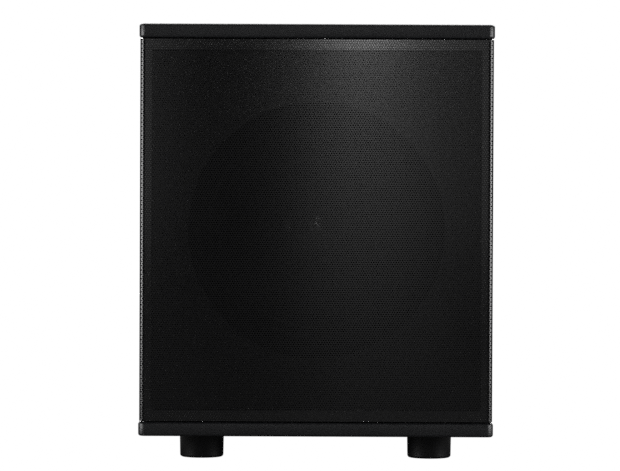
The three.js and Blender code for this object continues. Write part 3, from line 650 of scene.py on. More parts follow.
def sheet_strip():
    carrier = bpy.data.meshes.new("strip")
    bm = perforated_strip()
    bm.to_mesh(carrier)
    bm.free()
    wrapped(carrier)
    bm = bmesh.new()
    bm.from_mesh(carrier)
    central = min(bm.faces, key=lambda f: abs(f.calc_center_median().x))
    if central.normal.y > 0:
        bmesh.ops.reverse_faces(bm, faces=bm.faces)
    bmesh.ops.solidify(bm, geom=bm.faces[:], thickness=SHEET_T)
    bm.to_mesh(carrier)
    bm.free()
    return carrier


strip = sheet_strip()
print("strip: triangles", sum(len(p.vertices) - 2 for p in strip.polygons),
      "y", min(v.co.y for v in strip.vertices), "x", max(v.co.x for v in strip.vertices))
for number in range(STRIPS):
    band = strip.copy()
    band.transform(Matrix.Translation((0, 0, sheet_low.z + number * strip_rows * row_step)))
    placed(f"grille_sheet_{number + 1}", band, GRILLE_COAT,
           ["perforated_grille"] if number == 0 else [], smooth=30)

# %% [markdown]
# Where the sheet was cut, at the back ends of its two returns, a thin hem covers the row of half
# holes. Behind the sheet runs a moulded frame, and its front face shows through the holes as a paler
# border.

# %% Hem and frame
HEM_EDGE = 0.25 * MM
for side, name in ((-1, "left"), (1, "right")):
    near, far = sorted((side * sheet_high.x, side * (sheet_high.x - SHEET_T)))
    bm = slab((near, sheet_high.y - HEM, sheet_low.z), (far, sheet_high.y, sheet_high.z), HEM_EDGE)
    finished(f"grille_hem_{name}", bm, GRILLE_COAT)

low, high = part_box("grille_frame")
frame_mid = (low + high) / 2
FRAME_BAR, FRAME_POST = 10 * MM, 6.7 * MM
FRAME_CORNER = 4 * MM
half_w, half_h = (high.x - low.x) / 2, (high.z - low.z) / 2
rim = (frame_mid.x, frame_mid.z, half_w, half_h, FRAME_CORNER)
opening = (frame_mid.x, frame_mid.z, half_w - FRAME_POST, half_h - FRAME_BAR, FRAME_CORNER)
finished("grille_frame", plate([rim, opening], low.y, high.y), GLOSSY_ABS, ["grille_frame"])

# %% [markdown]
# ## The driver
# It sits behind the grille and reads as a dark circle. Every ring is a profile turned about the
# driver's own line. The basket is a cast flange, six legs, a ledge for the spider and a seat for the
# magnet. The legs are the same profile turned through a few degrees instead of all the way round.

# %% Basket
def deep(profile):
    """A profile given in millimetres of radius and of depth behind the baffle's face."""
    return [(r * MM, FACE + d * MM) for r, d in profile]


bm = spun(deep([(129, 0.5), (128.5, 0), (113.6, 0), (113, 0.6), (113, 8), (117.4, 8), (117.4, 5), (128.6, 5),
                (129, 4.6)]), hub, steps=128)
LEGS = 6
LEG_WIDTH = math.radians(17)
leg = deep([(113, 4), (117.3, 5), (117.3, 9), (85, 54), (80, 60), (73, 57), (81, 52.3)])
for i in range(LEGS):
    start = math.tau * (i + 0.5) / LEGS - LEG_WIDTH / 2
    spun(leg, hub, steps=6, angle=LEG_WIDTH, start=start, into=bm)
seats = deep([(62, 52.5), (62.2, 52.3), (83, 52.3), (84.8, 54), (78, 79), (34, 79), (34, 76), (73, 76),
              (78, 56), (62, 55.5)])
spun(seats, hub, steps=96, into=bm)
finished("driver_basket", bm, CASTING, ["driver_basket"])

# %% [markdown]
# The cone is pressed paper pulp with a gentle flare and shallow pressed rings, and the dust cap is a
# dome of the same pulp, lacquered. Both move, so they ride on the cone's body. The rings are a ripple on the
# profile: one every seven millimetres, a third of a millimetre deep.

# %% Cone and dust cap
CONE_RIM, NECK, CONE_DEPTH = 96, 26.1, 47
CONE_LIP, CONE_T = 99.2, 1.1
FLARE = 3.0
RIPPLES, RIPPLE = 10, 0.18
CAP_T = 0.7


def cone_depth(radius):
    share = (CONE_RIM - radius) / (CONE_RIM - NECK)
    return CONE_DEPTH * share - FLARE * math.sin(math.pi * share)


def cone_profile():
    steps = 80
    front = []
    for i in range(steps + 1):
        radius = CONE_RIM - (CONE_RIM - NECK) * i / steps
        ripple = RIPPLE * (1 - math.cos(math.tau * RIPPLES * i / steps))
        front.append((radius, cone_depth(radius) + ripple))
    back = [(r + 0.3, d + CONE_T) for r, d in reversed(front)]
    return [(CONE_LIP, 0), *front, *back, (CONE_LIP, CONE_T)]


bm = spun(deep(cone_profile()), hub, steps=128)
finished("cone", bm, PULP, ["cone"], "cone_assembly", 60)

low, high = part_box("dust_cap")
cap_radius = (high.x - low.x) / 2 / MM
cap_front, cap_back = (low.y - FACE) / MM, (high.y - FACE) / MM - 0.6
cap_rise = cap_back - cap_front
sphere = (cap_radius**2 + cap_rise**2) / (2 * cap_rise)
half_angle = math.degrees(math.asin(cap_radius / sphere))
centre_depth = cap_front + sphere
outer = [(r, centre_depth - c) for c, r in bow((0, 0), sphere, 0, half_angle, 16)]
inner = [(r, centre_depth - c) for c, r in bow((0, 0), sphere - CAP_T, half_angle, 0, 16)]
outer[0], inner[-1] = (0, outer[0][1]), (0, inner[-1][1])
finished("dust_cap", spun(deep(outer + inner), hub, steps=96), LACQUERED_PULP, ["dust_cap"],
         "cone_assembly", 60)

# %% [markdown]
# The surround is a half roll of butyl rubber. Its outer lip is glued to the basket and its inner lip
# to the cone, so it has to stretch as the cone moves. The spider does the same job at the neck, in
# cloth, with five and a half corrugations.

# %% Surround and spider
ROLL_MIDDLE, ROLL, ROLL_T = 108, 9, 1
LIP_FACE = -1.3  # depth of the lips' front face


def flexes(piece):
    """Bake a ring's placement into its mesh and read its points about the driver's line."""
    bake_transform(piece)
    points = np.empty(len(piece.data.vertices) * 3)
    piece.data.vertices.foreach_get("co", points)
    points = points.reshape(-1, 3) - np.array(hub)


crown = bow((ROLL_MIDDLE, LIP_FACE), ROLL, 0, -180, 24)
hollow = bow((ROLL_MIDDLE, LIP_FACE), ROLL - ROLL_T, -176, -4, 24)
roll = [(120.6, -0.3), (121, -0.8), (120.6, LIP_FACE), *crown, (96, -1.1), (95.7, -0.3),
        (99.6, -0.3), *hollow, (116.4, -0.3)]
surround = finished("surround", spun(deep(roll), hub, steps=128), SURROUND_RUBBER, ["surround"],
                    "between", 60)
flexes(surround)

SPIDER_IN, SPIDER_OUT, SPIDER_T, SPIDER_DEPTH = 26.3, 76, 0.5, 50.9
WAVES_IN, WAVES_OUT, WAVES, SWING = 29.3, 62, 5.5, 1.2
steps = 66
top = []
for i in range(steps + 1):
    radius = SPIDER_IN + (SPIDER_OUT - SPIDER_IN) * i / steps
    waves_done = WAVES * (radius - WAVES_IN) / (WAVES_OUT - WAVES_IN)
    swing = SWING * math.sin(math.tau * waves_done) if 0 < waves_done < WAVES else 0
    top.append((radius, SPIDER_DEPTH + swing))
under = [(r, d + SPIDER_T) for r, d in reversed(top)]
spider = finished("spider", spun(deep(top + under), hub, steps=96), CLOTH, ["spider"],
                  "between", 70)
flexes(spider)

# %% [markdown]
# A foam gasket lies on the flange, and eight socket screws hold the driver. A screw's head is a round
# plate with a six sided hole in it, on a thinner plate that is the floor of the hole.

# %% Gasket and screws
gasket = deep([(121.6, -0.3), (121.4, -1.4), (122.4, -2.6), (127.6, -2.6), (128.6, -1.4), (128.4, -0.3)])
finished("driver_gasket", spun(gasket, hub, steps=128), FOAM, ["driver_gasket"], smooth=60)


FORWARDS, BACKWARDS, DOWNWARDS = (0, -1, 0), (0, 1, 0), (0, 0, -1)


def screw(bm, place, head, rise, outwards, recess):
    """A rounded head with a six sided recess, standing on place and looking outwards."""
    turns = [math.radians(60 * i) for i in range(6)]
    socket = [(recess * math.cos(t), recess * math.sin(t)) for t in turns]
    part = plate([round_hole(0, 0, head), socket], 0, rise, edge=0.25 * rise, fineness=6)
    plate([round_hole(0, 0, head * 0.9)], 0, 0.4 * rise, fineness=6, into=part)
    turn = Vector(outwards).to_track_quat("Y", "Z").to_matrix()
    bmesh.ops.rotate(part, cent=(0, 0, 0), matrix=turn, verts=part.verts)
    bmesh.ops.translate(part, vec=place, verts=part.verts)
    poured(part, bm)


DRIVER_SCREWS, SCREW_CIRCLE = 8, 125 * MM
GASKET_FACE = FACE - 2.5 * MM
bm = bmesh.new()
for i in range(DRIVER_SCREWS):
    a = math.tau * (i + 0.5) / DRIVER_SCREWS
    spot = (hub.x + SCREW_CIRCLE * math.cos(a), GASKET_FACE, hub.z + SCREW_CIRCLE * math.sin(a))
    screw(bm, spot, head=3.6 * MM, rise=2.6 * MM, outwards=FORWARDS, recess=1.6 * MM)
finished("driver_screws", bm, OXIDE, smooth=30)
print("driver made")

# %% [markdown]
# ## Feet
# Each foot is a moulded rubber cup: it tapers towards the floor, has a soft lower edge, and holds its
# screw in a recess. A foot could be a cylinder with its edges bevelled, but one profile turned about the
# foot's upright line gives the taper, the edge and the recess together.

# %% Feet
FOOT_TAPER = 0.7 * MM
FOOT_SOFT = 2.6 * MM
RECESS, RECESS_TOP = 8 * MM, 14 * MM
FOOT_BORE, SHANK = 2.6 * MM, 2.1 * MM
HEAD_RISE, HEAD = 3.6 * MM, 6.2 * MM


def foot(where):
    low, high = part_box(f"foot_{where}")
    mid = (low + high) / 2
    top_r = (high.x - low.x) / 2
    low_r = top_r - FOOT_TAPER
    base = low.z
    profile = [
        (RECESS, base + RECESS_TOP), (RECESS, base + 0.8 * MM), (RECESS + 0.8 * MM, base),
        *bow((low_r - FOOT_SOFT, base + FOOT_SOFT), FOOT_SOFT, -90, -5, 8),
        (top_r - FOOT_TAPER / 2, high.z - 1.6 * MM), (top_r, high.z - 1.0 * MM), (top_r, high.z),
        (FOOT_BORE, high.z), (FOOT_BORE, base + RECESS_TOP),
    ]
    bm = spun(profile, mid, "Z", 72)
    finished(f"foot_{where}", bm, FOOT_RUBBER, [f"foot_{where}"], smooth=40)
    low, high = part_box(f"foot_screw_{where}")
    bm = bmesh.new()
    seat = low.z + HEAD_RISE + 0.1 * MM
    screw(bm, (mid.x, mid.y, seat), head=HEAD, rise=HEAD_RISE, outwards=DOWNWARDS, recess=2.4 * MM)
    shank_low = seat - 0.1 * MM
    shank = [(0, high.z), (SHANK, high.z - 1 * MM), (SHANK, shank_low), (0, shank_low)]
    spun(shank, mid, "Z", 16, into=bm)
    finished(f"foot_screw_{where}", bm, ZINC, [f"foot_screw_{where}"], smooth=30)


for where in ("front_left", "front_right", "rear_left", "rear_right"):
    foot(where)

# %% [markdown]
# ## The back
# The port is one smooth trumpet: its wall flares through a quarter ellipse until it lies flat on the
# back wall. The inner end flares a little too, which keeps the air from hissing.

# %% Port
PORT_BORE, PORT_T = 33 * MM, 2.5 * MM
FLARE_DEPTH, LIP_T, INNER_FLARE = 20 * MM, 4 * MM, 2.2 * MM
lip_front, lip_back = port_high.y - LIP_T, port_high.y
start_y = port_low.y
flare_r = PORT_LIP - PORT_BORE - 0.4 * MM
turns = [math.radians(90 * i / 16) for i in range(17)]
bore = [(PORT_BORE + flare_r * (1 - math.cos(t)), lip_back - FLARE_DEPTH * (1 - math.sin(t))) for t in turns]
profile = [
    *bow((PORT_BORE + INNER_FLARE, start_y + INNER_FLARE), INNER_FLARE, 270, 180, 6), *bore,
    (PORT_LIP, lip_back - 0.5 * MM), (PORT_LIP, lip_front), (PORT_BORE + 7.3 * MM, lip_front),
    (PORT_BORE + PORT_T, lip_back - 16 * MM), (PORT_BORE + PORT_T, start_y + 4 * MM),
    (PORT_BORE + 3.4 * MM, start_y + 0.6 * MM),
]
finished("port_tube", spun(profile, port, steps=128), ABS, ["port_tube"], smooth=40)

# %% [markdown]
# The amplifier's plate is three millimetres of black anodised aluminium, held by screws round its rim.
# Its cut-outs follow the sockets' own boxes, so they can't drift from what sits in them.

# %% Amplifier plate
plate_low, plate_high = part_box("amp_plate")
OUT = plate_high.y
half_w, half_h = (plate_high.x - plate_low.x) / 2, (plate_high.z - plate_low.z) / 2
SOCKETS = [f"xlr_{kind}_{i}" for kind in ("input", "output") for i in (1, 2)]
CONTROLS = ("level", "crossover")
inlet, power = middle("iec_inlet"), middle("power_switch_body")
phase, status = middle("phase_switch_body"), middle("status_led")
SOCKET_CUT, SHAFT_CUT, LAMP_CUT = 12.2 * MM, 4.3 * MM, 2.8 * MM
INLET_W, INLET_H, POWER_W, POWER_H = 14.5 * MM, 17 * MM, 6.5 * MM, 9.5 * MM
cuts = [(amp.x, amp.z, half_w, half_h, 4 * MM)]
cuts += [round_hole(middle(n).x, middle(n).z, SOCKET_CUT) for n in SOCKETS]
cuts += [round_hole(middle(f"{n}_knob").x, middle(f"{n}_knob").z, SHAFT_CUT) for n in CONTROLS]
cuts += [round_hole(status.x, status.z, LAMP_CUT), (phase.x, phase.z, 4.9 * MM, 2.8 * MM, 0.6 * MM)]
cuts += [(inlet.x, inlet.z, INLET_W + FIT, INLET_H + FIT, 0.5 * MM)]
cuts += [(power.x, power.z, POWER_W + FIT, POWER_H + FIT, 0.4 * MM)]
bm = plate(cuts, plate_low.y, OUT, edge=0.4 * MM)
finished("amp_plate", bm, ANODISED, ["amp_plate"])

RIM_INSET = 5.5 * MM
across, up = half_w - RIM_INSET, half_h - RIM_INSET
rows = [(across * (i / 2 - 1), side * up) for i in range(5) for side in (-1, 1)]
columns = [(side * across, up * (i / 2 - 1)) for i in range(1, 4) for side in (-1, 1)]
bm = bmesh.new()
for dx, dz in rows + columns:
    spot = (amp.x + dx, OUT, amp.z + dz)
    screw(bm, spot, head=3.2 * MM, rise=2.0 * MM, outwards=BACKWARDS, recess=1.3 * MM)
finished("amp_plate_screws", bm, OXIDE, smooth=30)

# %% [markdown]
# The heatsink is an extrusion. A fin isn't a plain blade: its sides carry small ridges that add
# surface, and its tip is rounded. One fin is an outline pushed upwards, and the rest are copies.

# %% Heatsink
sink_low, sink_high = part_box("heatsink")
FINS, FIN_T, BASE_T, RIDGES = 15, 2.2 * MM, 4 * MM, 7
GROOVE, TAPER = 0.72, 0.2  # a fin's width in its grooves, and what it loses towards its tip
bm = slab(sink_low, (sink_high.x, sink_low.y + BASE_T, sink_high.z), 0.3 * MM)
fin_pitch = (sink_high.x - sink_low.x - FIN_T) / (FINS - 1)
root, tip = sink_low.y + BASE_T - 0.2 * MM, sink_high.y
right_side = []
for i in range(2 * RIDGES + 1):
    share = i / (2 * RIDGES)
    bulge = (FIN_T / 2) * (1.0 if i % 2 == 0 else GROOVE) * (1 - TAPER * share)
    right_side.append((bulge, root + (tip - FIN_T / 2 - root) * share))
cap = bow((0, tip - FIN_T * 0.4), FIN_T * 0.4, 0, 180, 6)
outline = right_side + cap + [(-x, y) for x, y in reversed(right_side)]
for i in range(FINS):
    fin = bmesh.new()
    x = sink_low.x + FIN_T / 2 + i * fin_pitch
    face = fin.faces.new([fin.verts.new((x + dx, y, sink_low.z)) for dx, y in outline])
    raised = bmesh.ops.extrude_face_region(fin, geom=[face])["geom"]
    moved = [g for g in raised if isinstance(g, bmesh.types.BMVert)]
    bmesh.ops.translate(fin, vec=(0, 0, sink_high.z - sink_low.z), verts=moved)
    poured(fin, bm)
finished("heatsink", bm, ANODISED, ["heatsink"], smooth=25)

# %% [markdown]
# The mains inlet is a moulded block with a hooded cavity: a rectangle with its two upper corners cut
# off, so that a plug only fits one way. Three flat blades stand in it. The fuse drawer above slides out.

# %% Mains inlet and fuse drawer
inlet_low, inlet_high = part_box("iec_inlet")
SOCKET_FACE = inlet_high.y
CAVITY_W, CAVITY_LOW, CAVITY_TOP, CHAMFER = 12 * MM, 13.5 * MM, 3 * MM, 4.5 * MM
CAVITY_FLOOR, BLADE_TIP = SOCKET_FACE - 21.4 * MM, SOCKET_FACE - 8.4 * MM
BLADES = ((-7, -7.3), (7, -7.3), (0, -3.3))
SCREW_REACH = 20 * MM
SCREW_ACROSS, SCREW_UP = 9.6 * MM, 12 * MM  # of a line socket's two screws, corner to corner
MOULD_EDGE = 0.35 * MM
BEHIND_FLANGE = OUT + 0.35 * MM  # a socket's body reaches just into its own flange
x, z = inlet.x, inlet.z
right_half = [(CAVITY_W, -CAVITY_LOW), (CAVITY_W, CAVITY_TOP - CHAMFER), (CAVITY_W - CHAMFER, CAVITY_TOP)]
hood = [(x + dx, z + dz) for dx, dz in right_half] + [(x - dx, z + dz) for dx, dz in reversed(right_half)]
slot_hole = (x, z + 10.35 * MM, 11.7 * MM, 4.15 * MM, 0.6 * MM)
flange = (x, z, 25 * MM, 19 * MM, 3 * MM)
block = (x, z, INLET_W, INLET_H, 0.5 * MM)
screw_holes = [round_hole(x + dx, z, 1.7 * MM) for dx in (-SCREW_REACH, SCREW_REACH)]
bm = plate([flange, hood, slot_hole, *screw_holes], OUT + FIT, SOCKET_FACE, edge=MOULD_EDGE)
plate([block, hood, slot_hole], CAVITY_FLOOR, BEHIND_FLANGE, into=bm)
back_low = (x - INLET_W, inlet_low.y, z - INLET_H)
back_high = (x + INLET_W, CAVITY_FLOOR + 0.2 * MM, z + INLET_H)
slab(back_low, back_high, 0.5 * MM, into=bm)
finished("iec_inlet", bm, NYLON, ["iec_inlet"])
bm = bmesh.new()
for dx, dz in BLADES:
    blade_low = (x + (dx - 1) * MM, CAVITY_FLOOR, z + (dz - 2) * MM)
    blade_high = (x + (dx + 1) * MM, BLADE_TIP, z + (dz + 2) * MM)
    slab(blade_low, blade_high, 0.5 * MM, segments=3, into=bm)
finished("inlet_blades", bm, NICKEL)
sunk = SOCKET_FACE - 0.6 * MM  # the screws' heads lie a little below the flanges
bm = bmesh.new()
for dx in (-SCREW_REACH, SCREW_REACH):
    screw(bm, (x + dx, sunk, z), head=3.0 * MM, rise=1.6 * MM, outwards=BACKWARDS, recess=1.2 * MM)
for name in SOCKETS:
    at = middle(name)
    for way in (-1, 1):
        spot = (at.x + way * SCREW_ACROSS, sunk, at.z - way * SCREW_UP)
        screw(bm, spot, head=2.5 * MM, rise=1.5 * MM, outwards=BACKWARDS, recess=1.0 * MM)
finished("socket_screws", bm, OXIDE, smooth=30)

low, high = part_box("fuse_drawer")
bm = slab(low, (high.x, SOCKET_FACE + 0.4 * MM, high.z), 0.5 * MM)
mid = (low + high) / 2
slab((mid.x - 4 * MM, SOCKET_FACE, high.z - 2 * MM), (mid.x + 4 * MM, high.y, high.z), 0.4 * MM, into=bm)
finished("fuse_drawer", bm, ABS, ["fuse_drawer"], body="fuse_drawer")

# %% [markdown]
# The rocker is a shallow V: whichever half is down shows the other half standing proud. At rest it
# stands at off. Its bezel is a thin frame with a well behind it. A ring and a bar mark off and on.

# %% Power switch
low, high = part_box("power_switch_body")
x, z = power.x, power.z
WELL_FLOOR = OUT - 12.4 * MM
well = (x, z, 5.3 * MM, 8.3 * MM, 0.5 * MM)
bm = plate([(x, z, 7.8 * MM, 10.8 * MM, 1.5 * MM), well], OUT + FIT, high.y, edge=0.4 * MM)
plate([(x, z, POWER_W, POWER_H, 0.5 * MM), well], WELL_FLOOR, BEHIND_FLANGE, into=bm)
back_low = (x - POWER_W, low.y, z - POWER_H)
back_high = (x + POWER_W, WELL_FLOOR + FIT, z + POWER_H)
slab(back_low, back_high, 0.4 * MM, into=bm)
finished("power_switch_body", bm, ABS, ["power_switch_body"])

TILT = math.radians(8)
ROCKER_W = 10 * MM
joint = next(j for j in frame["joints"] if j["name"] == "power_rock")
pivot = Vector(joint["pos_m"])
half = 6.9  # millimetres, as the whole outline below
side = [(6.4, half), (5.6, half * 0.55), (5.05, 0), (5.6, -half * 0.55), (6.4, -half), (6.1, -half - 0.35),
        (0.5, -half - 0.5), *[(y, zz) for y, zz in bow((0, 0), 7, 250, 110, 10)], (0.5, half + 0.5),
        (6.1, half + 0.35)]
bm = bmesh.new()
face = bm.faces.new([bm.verts.new((-ROCKER_W / 2, y * MM, zz * MM)) for y, zz in side])
raised = bmesh.ops.extrude_face_region(bm, geom=[face])["geom"]
moved = [g for g in raised if isinstance(g, bmesh.types.BMVert)]
bmesh.ops.translate(bm, vec=(ROCKER_W, 0, 0), verts=moved)
sides = [e for e in bm.edges if abs(e.verts[0].co.x - e.verts[1].co.x) < SAME_PLACE]
round_edges(bm, sides, 0.35 * MM, 2)
bmesh.ops.rotate(bm, cent=(0, 0, 0), matrix=Matrix.Rotation(-TILT, 3, "X"), verts=bm.verts)
bmesh.ops.translate(bm, vec=pivot, verts=bm.verts)
finished("power_rocker", bm, ABS, ["power_rocker"], body="power_rocker")

bm = bmesh.new()
slab((-0.35 * MM, 5.75 * MM, 2.6 * MM), (0.35 * MM, 6.0 * MM, 5.2 * MM), 0.05 * MM, 1, bm)
ring_in, ring_out, ring_low, ring_high = 1.0 * MM, 1.5 * MM, 5.72 * MM, 5.98 * MM
ring = [(ring_in, ring_low), (ring_out, ring_low), (ring_out, ring_high), (ring_in, ring_high)]
spun(ring, (0, 0, -3.9 * MM), steps=24, into=bm)
bmesh.ops.rotate(bm, cent=(0, 0, 0), matrix=Matrix.Rotation(-TILT, 3, "X"), verts=bm.verts)
bmesh.ops.translate(bm, vec=pivot, verts=bm.verts)
finished("rocker_marks", bm, PRINT, body="power_rocker")

# %% [markdown]
# The line sockets share one shell: a rectangular flange with a barrel behind it. The input's barrel
# holds an insert with three contact holes inside a groove, and a latch above it. The output's barrel is
# an open cup with three pins.

# %% Line sockets
PIN_CIRCLE, PIN = 4 * MM, 1.2 * MM
CUP, BARREL = 9.4 * MM, 11.8 * MM
INSERT, CONTACT_IN, CONTACT_OUT, CONTACT_HOLE = 7.6 * MM, 0.9 * MM, 1.35 * MM, 1.45 * MM
CUP_FLOOR = SOCKET_FACE - 14.6 * MM


def pin_places(at, first_turn):
    turns = [first_turn + i * math.tau / 3 for i in range(3)]
    return [(at.x + PIN_CIRCLE * math.cos(t), at.z + PIN_CIRCLE * math.sin(t)) for t in turns]


def socket_shell(at, low, latch_room):
    flange = (at.x, at.z, 13 * MM, 15.5 * MM, 3 * MM)
    holes = [round_hole(at.x, at.z, CUP)]
    if latch_room:
        holes.append((at.x, at.z + 10.85 * MM, 2.9 * MM, 1.1 * MM, 0.3 * MM))
    bm = plate([flange, *holes], OUT + FIT, SOCKET_FACE, edge=MOULD_EDGE, fineness=16)
    mouth = OUT + 0.4 * MM
    barrel = [(0, CUP_FLOOR), (CUP, CUP_FLOOR), (CUP, mouth), (BARREL, mouth), (BARREL, low.y), (0, low.y)]
    return spun(barrel, at, steps=64, into=bm)


for number in (1, 2):
    name = f"xlr_input_{number}"
    low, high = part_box(name)
    at = middle(name)
    bm = socket_shell(at, low, True)
    contacts = pin_places(at, -math.pi / 2)
    insert = [round_hole(at.x, at.z, INSERT)] + [round_hole(px, pz, CONTACT_HOLE) for px, pz in contacts]
    plate(insert, CUP_FLOOR - 0.1 * MM, SOCKET_FACE - 0.5 * MM, edge=0.3 * MM, fineness=10, into=bm)
    finished(name, bm, NYLON, [name], smooth=35)
    near, deep_end = SOCKET_FACE - 2 * MM, SOCKET_FACE - 12 * MM
    sleeve = [(CONTACT_IN, near), (CONTACT_OUT, near), (CONTACT_OUT, deep_end), (CONTACT_IN, deep_end)]
    bm = bmesh.new()
    for px, pz in contacts:
        spun(sleeve, (px, 0, pz), steps=20, into=bm)
    finished(f"input_contacts_{number}", bm, GOLD)
    low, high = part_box(f"latch_tab_{number}")
    stem_low = (at.x - 2.6 * MM, low.y, low.z + 0.1 * MM)
    stem_high = (at.x + 2.6 * MM, high.y - 1.4 * MM, low.z + 1.7 * MM)
    bm = slab(stem_low, stem_high, 0.2 * MM)
    slab((low.x, high.y - 1.6 * MM, low.z), (high.x, high.y, high.z), 0.5 * MM, 3, bm)
    finished(f"latch_tab_{number}", bm, NICKEL, [f"latch_tab_{number}"], f"latch_tab_{number}")

    name = f"xlr_output_{number}"
    low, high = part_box(name)
    at = middle(name)
    finished(name, socket_shell(at, low, False), NYLON, [name], smooth=35)
    bm = bmesh.new()
    tip_y, root_y = SOCKET_FACE - 4.6 * MM, CUP_FLOOR - 0.3 * MM
    pin = [(0, root_y), (PIN, root_y), (PIN, tip_y - 1.2 * MM), (1.0 * MM, tip_y - 0.5 * MM),
           (0.5 * MM, tip_y - 0.1 * MM), (0, tip_y)]
    for px, pz in pin_places(at, math.pi / 2):
        spun(pin, (px, 0, pz), steps=20, into=bm)
    finished(f"output_pins_{number}", bm, GOLD)

# %% [markdown]
# A knob is a turned body whose skirt is fluted for grip. The flutes are pressed in by moving the
# points of the side inwards by a wave round the turn. A white line is let into its face, and a
# printed scale of eleven strokes stands round it on the plate.

# %% Knobs and their scales
FLUTES, FLUTE_DEPTH = 24, 0.45 * MM
SHAFT = 3 * MM
TURN_EACH_WAY, STROKES = 150, 11  # degrees from the middle to each stop, and the strokes between
SCALE_IN, STROKE, STROKE_LONG, STROKE_HALF = 11.5 * MM, 1.7 * MM, 2.6 * MM, 0.22 * MM
INK_LOW, INK_HIGH = OUT - 0.05 * MM, OUT + 0.08 * MM


def knob(name):
    low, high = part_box(f"{name}_knob")
    at = (low + high) / 2
    base, face = OUT + 2.4 * MM, high.y
    skirt = (high.x - low.x) / 2
    profile = [(0, low.y), (SHAFT, low.y), (SHAFT, base), (skirt, base), (skirt, base + 2 * MM),
               (skirt - 0.8 * MM, base + 3 * MM), (8.1 * MM, base + 3.4 * MM), (8.05 * MM, base + 7 * MM),
               (7.9 * MM, base + 10 * MM), (7.75 * MM, face - 1.1 * MM), (7.4 * MM, face - 0.35 * MM),
               (6.8 * MM, face), (6.2 * MM, face), (5.8 * MM, face - 0.35 * MM), (0, face - 0.45 * MM)]
    bm = spun(profile, at, steps=FLUTES * 6)
    for vert in bm.verts:
        across = Vector((vert.co.x - at.x, 0, vert.co.z - at.z))
        if base + 3.3 * MM < vert.co.y < face - 1.0 * MM and across.length > 7 * MM:
            turn = math.atan2(across.z, across.x)
            press = FLUTE_DEPTH * max(0.0, math.cos(FLUTES * turn)) ** 0.7
            vert.co -= across.normalized() * press
    finished(f"{name}_knob", bm, ABS, [f"{name}_knob"], body=f"{name}_knob", smooth=40)
    line_low = (at.x - 0.5 * MM, face - 0.6 * MM, at.z + 1.5 * MM)
    line_high = (at.x + 0.5 * MM, face - 0.02 * MM, at.z + 7 * MM)
    line = slab(line_low, line_high, 0.1 * MM)
    finished(f"{name}_pointer", line, PRINT, body=f"{name}_knob")
    return at


bm = bmesh.new()
for name in CONTROLS:
    at = knob(name)
    for i in range(STROKES):
        turn = math.radians(TURN_EACH_WAY * (2 * i / (STROKES - 1) - 1))
        reach = STROKE_LONG if i in (0, STROKES // 2, STROKES - 1) else STROKE
        stroke = slab((-STROKE_HALF, INK_LOW, SCALE_IN), (STROKE_HALF, INK_HIGH, SCALE_IN + reach), 0)
        bmesh.ops.rotate(stroke, cent=(0, 0, 0), matrix=Matrix.Rotation(turn, 3, "Y"), verts=stroke.verts)
        bmesh.ops.translate(stroke, vec=(at.x, 0, at.z), verts=stroke.verts)
        poured(stroke, bm)
for mark_x in (phase.x - 7.5 * MM, phase.x + 7.5 * MM):
    slab((mark_x - 0.9 * MM, INK_LOW, phase.z - STROKE_HALF),
         (mark_x + 0.9 * MM, INK_HIGH, phase.z + STROKE_HALF), 0, into=bm)
finished("panel_scales", bm, PRINT, smooth=20)

# %% [markdown]
# The small slide switch turns the phase round. Its button has a grooved top for a fingernail. The lamp
# beside it is a light pipe with a domed end.

# %% Phase switch and lamp
low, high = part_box("phase_slider")
mid = (low + high) / 2
bm = slab(low, (high.x, high.y - 0.5 * MM, high.z), 0.2 * MM)
RIB_GAP, RIB_HALF = 1.25 * MM, 0.35 * MM
for rib_x in (mid.x - RIB_GAP, mid.x, mid.x + RIB_GAP):
    rib_low = (rib_x - RIB_HALF, high.y - 0.8 * MM, low.z + 0.2 * MM)
    slab(rib_low, (rib_x + RIB_HALF, high.y, high.z - 0.2 * MM), 0.15 * MM, into=bm)
finished("phase_slider", bm, ABS, ["phase_slider"], body="phase_slider")

low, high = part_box("status_led")
PIPE, COLLAR = 2.5 * MM, 3.2 * MM
collar_low, collar_high = low.y + 7 * MM, plate_low.y - FIT
lamp = [(0, low.y), (PIPE, low.y), (PIPE, collar_low), (COLLAR, collar_low), (COLLAR, collar_high),
        (PIPE, collar_high), *bow((0, high.y - PIPE), PIPE, 0, 90, 8)]
lamp[-1] = (0, high.y)
finished("status_led", spun(lamp, status, steps=48), LENS, ["status_led"], smooth=50)
print("back made")

# %% [markdown]
# ## Inside
# What the box hides keeps the solids' own shapes, because nothing there is round enough or near enough
# to need more, and each gets the finish of the real thing.

# %% Finishes of the kept solids
KEPT = {
    MDF: ["window_brace"], ZINC: ["top_plate", "yoke", "transformer_clamp", "transformer_bolt"],
    FERRITE: ["ferrite_magnet"], NYLON: ["terminal_strip"], SURROUND_RUBBER: ["driver_lead"],
    FILM: ["voice_coil_former"], COPPER: ["voice_coil"], FOAM: ["amp_gasket"],
    STEEL: ["amp_tray", "level_pot", "crossover_pot", "phase_switch_body"],
    TAPE: ["toroidal_transformer"], LAMINATE: ["amplifier_board", "control_board"],
    ABS: ["capacitor_1", "capacitor_2"], ALUMINIUM: ["transistor_bar"],
}
for material, names in KEPT.items():
    for name in names:
        mesh = nodes[name].data
        mesh.materials.clear()
        mesh.materials.append(material)

# %% [markdown]
# ## Floor and light
# The box is nearly black, so what the eye reads is what its surfaces reflect. The room is kept dim and
# the camera alone is shown a white one, so that the lamps stand out in the gloss as they would against
# black cloth. The picture is shown as it is computed, with no film curve. It isn't smoothed either,
# because smoothing takes the punched holes and the beads of the paint for grain and wipes them out.

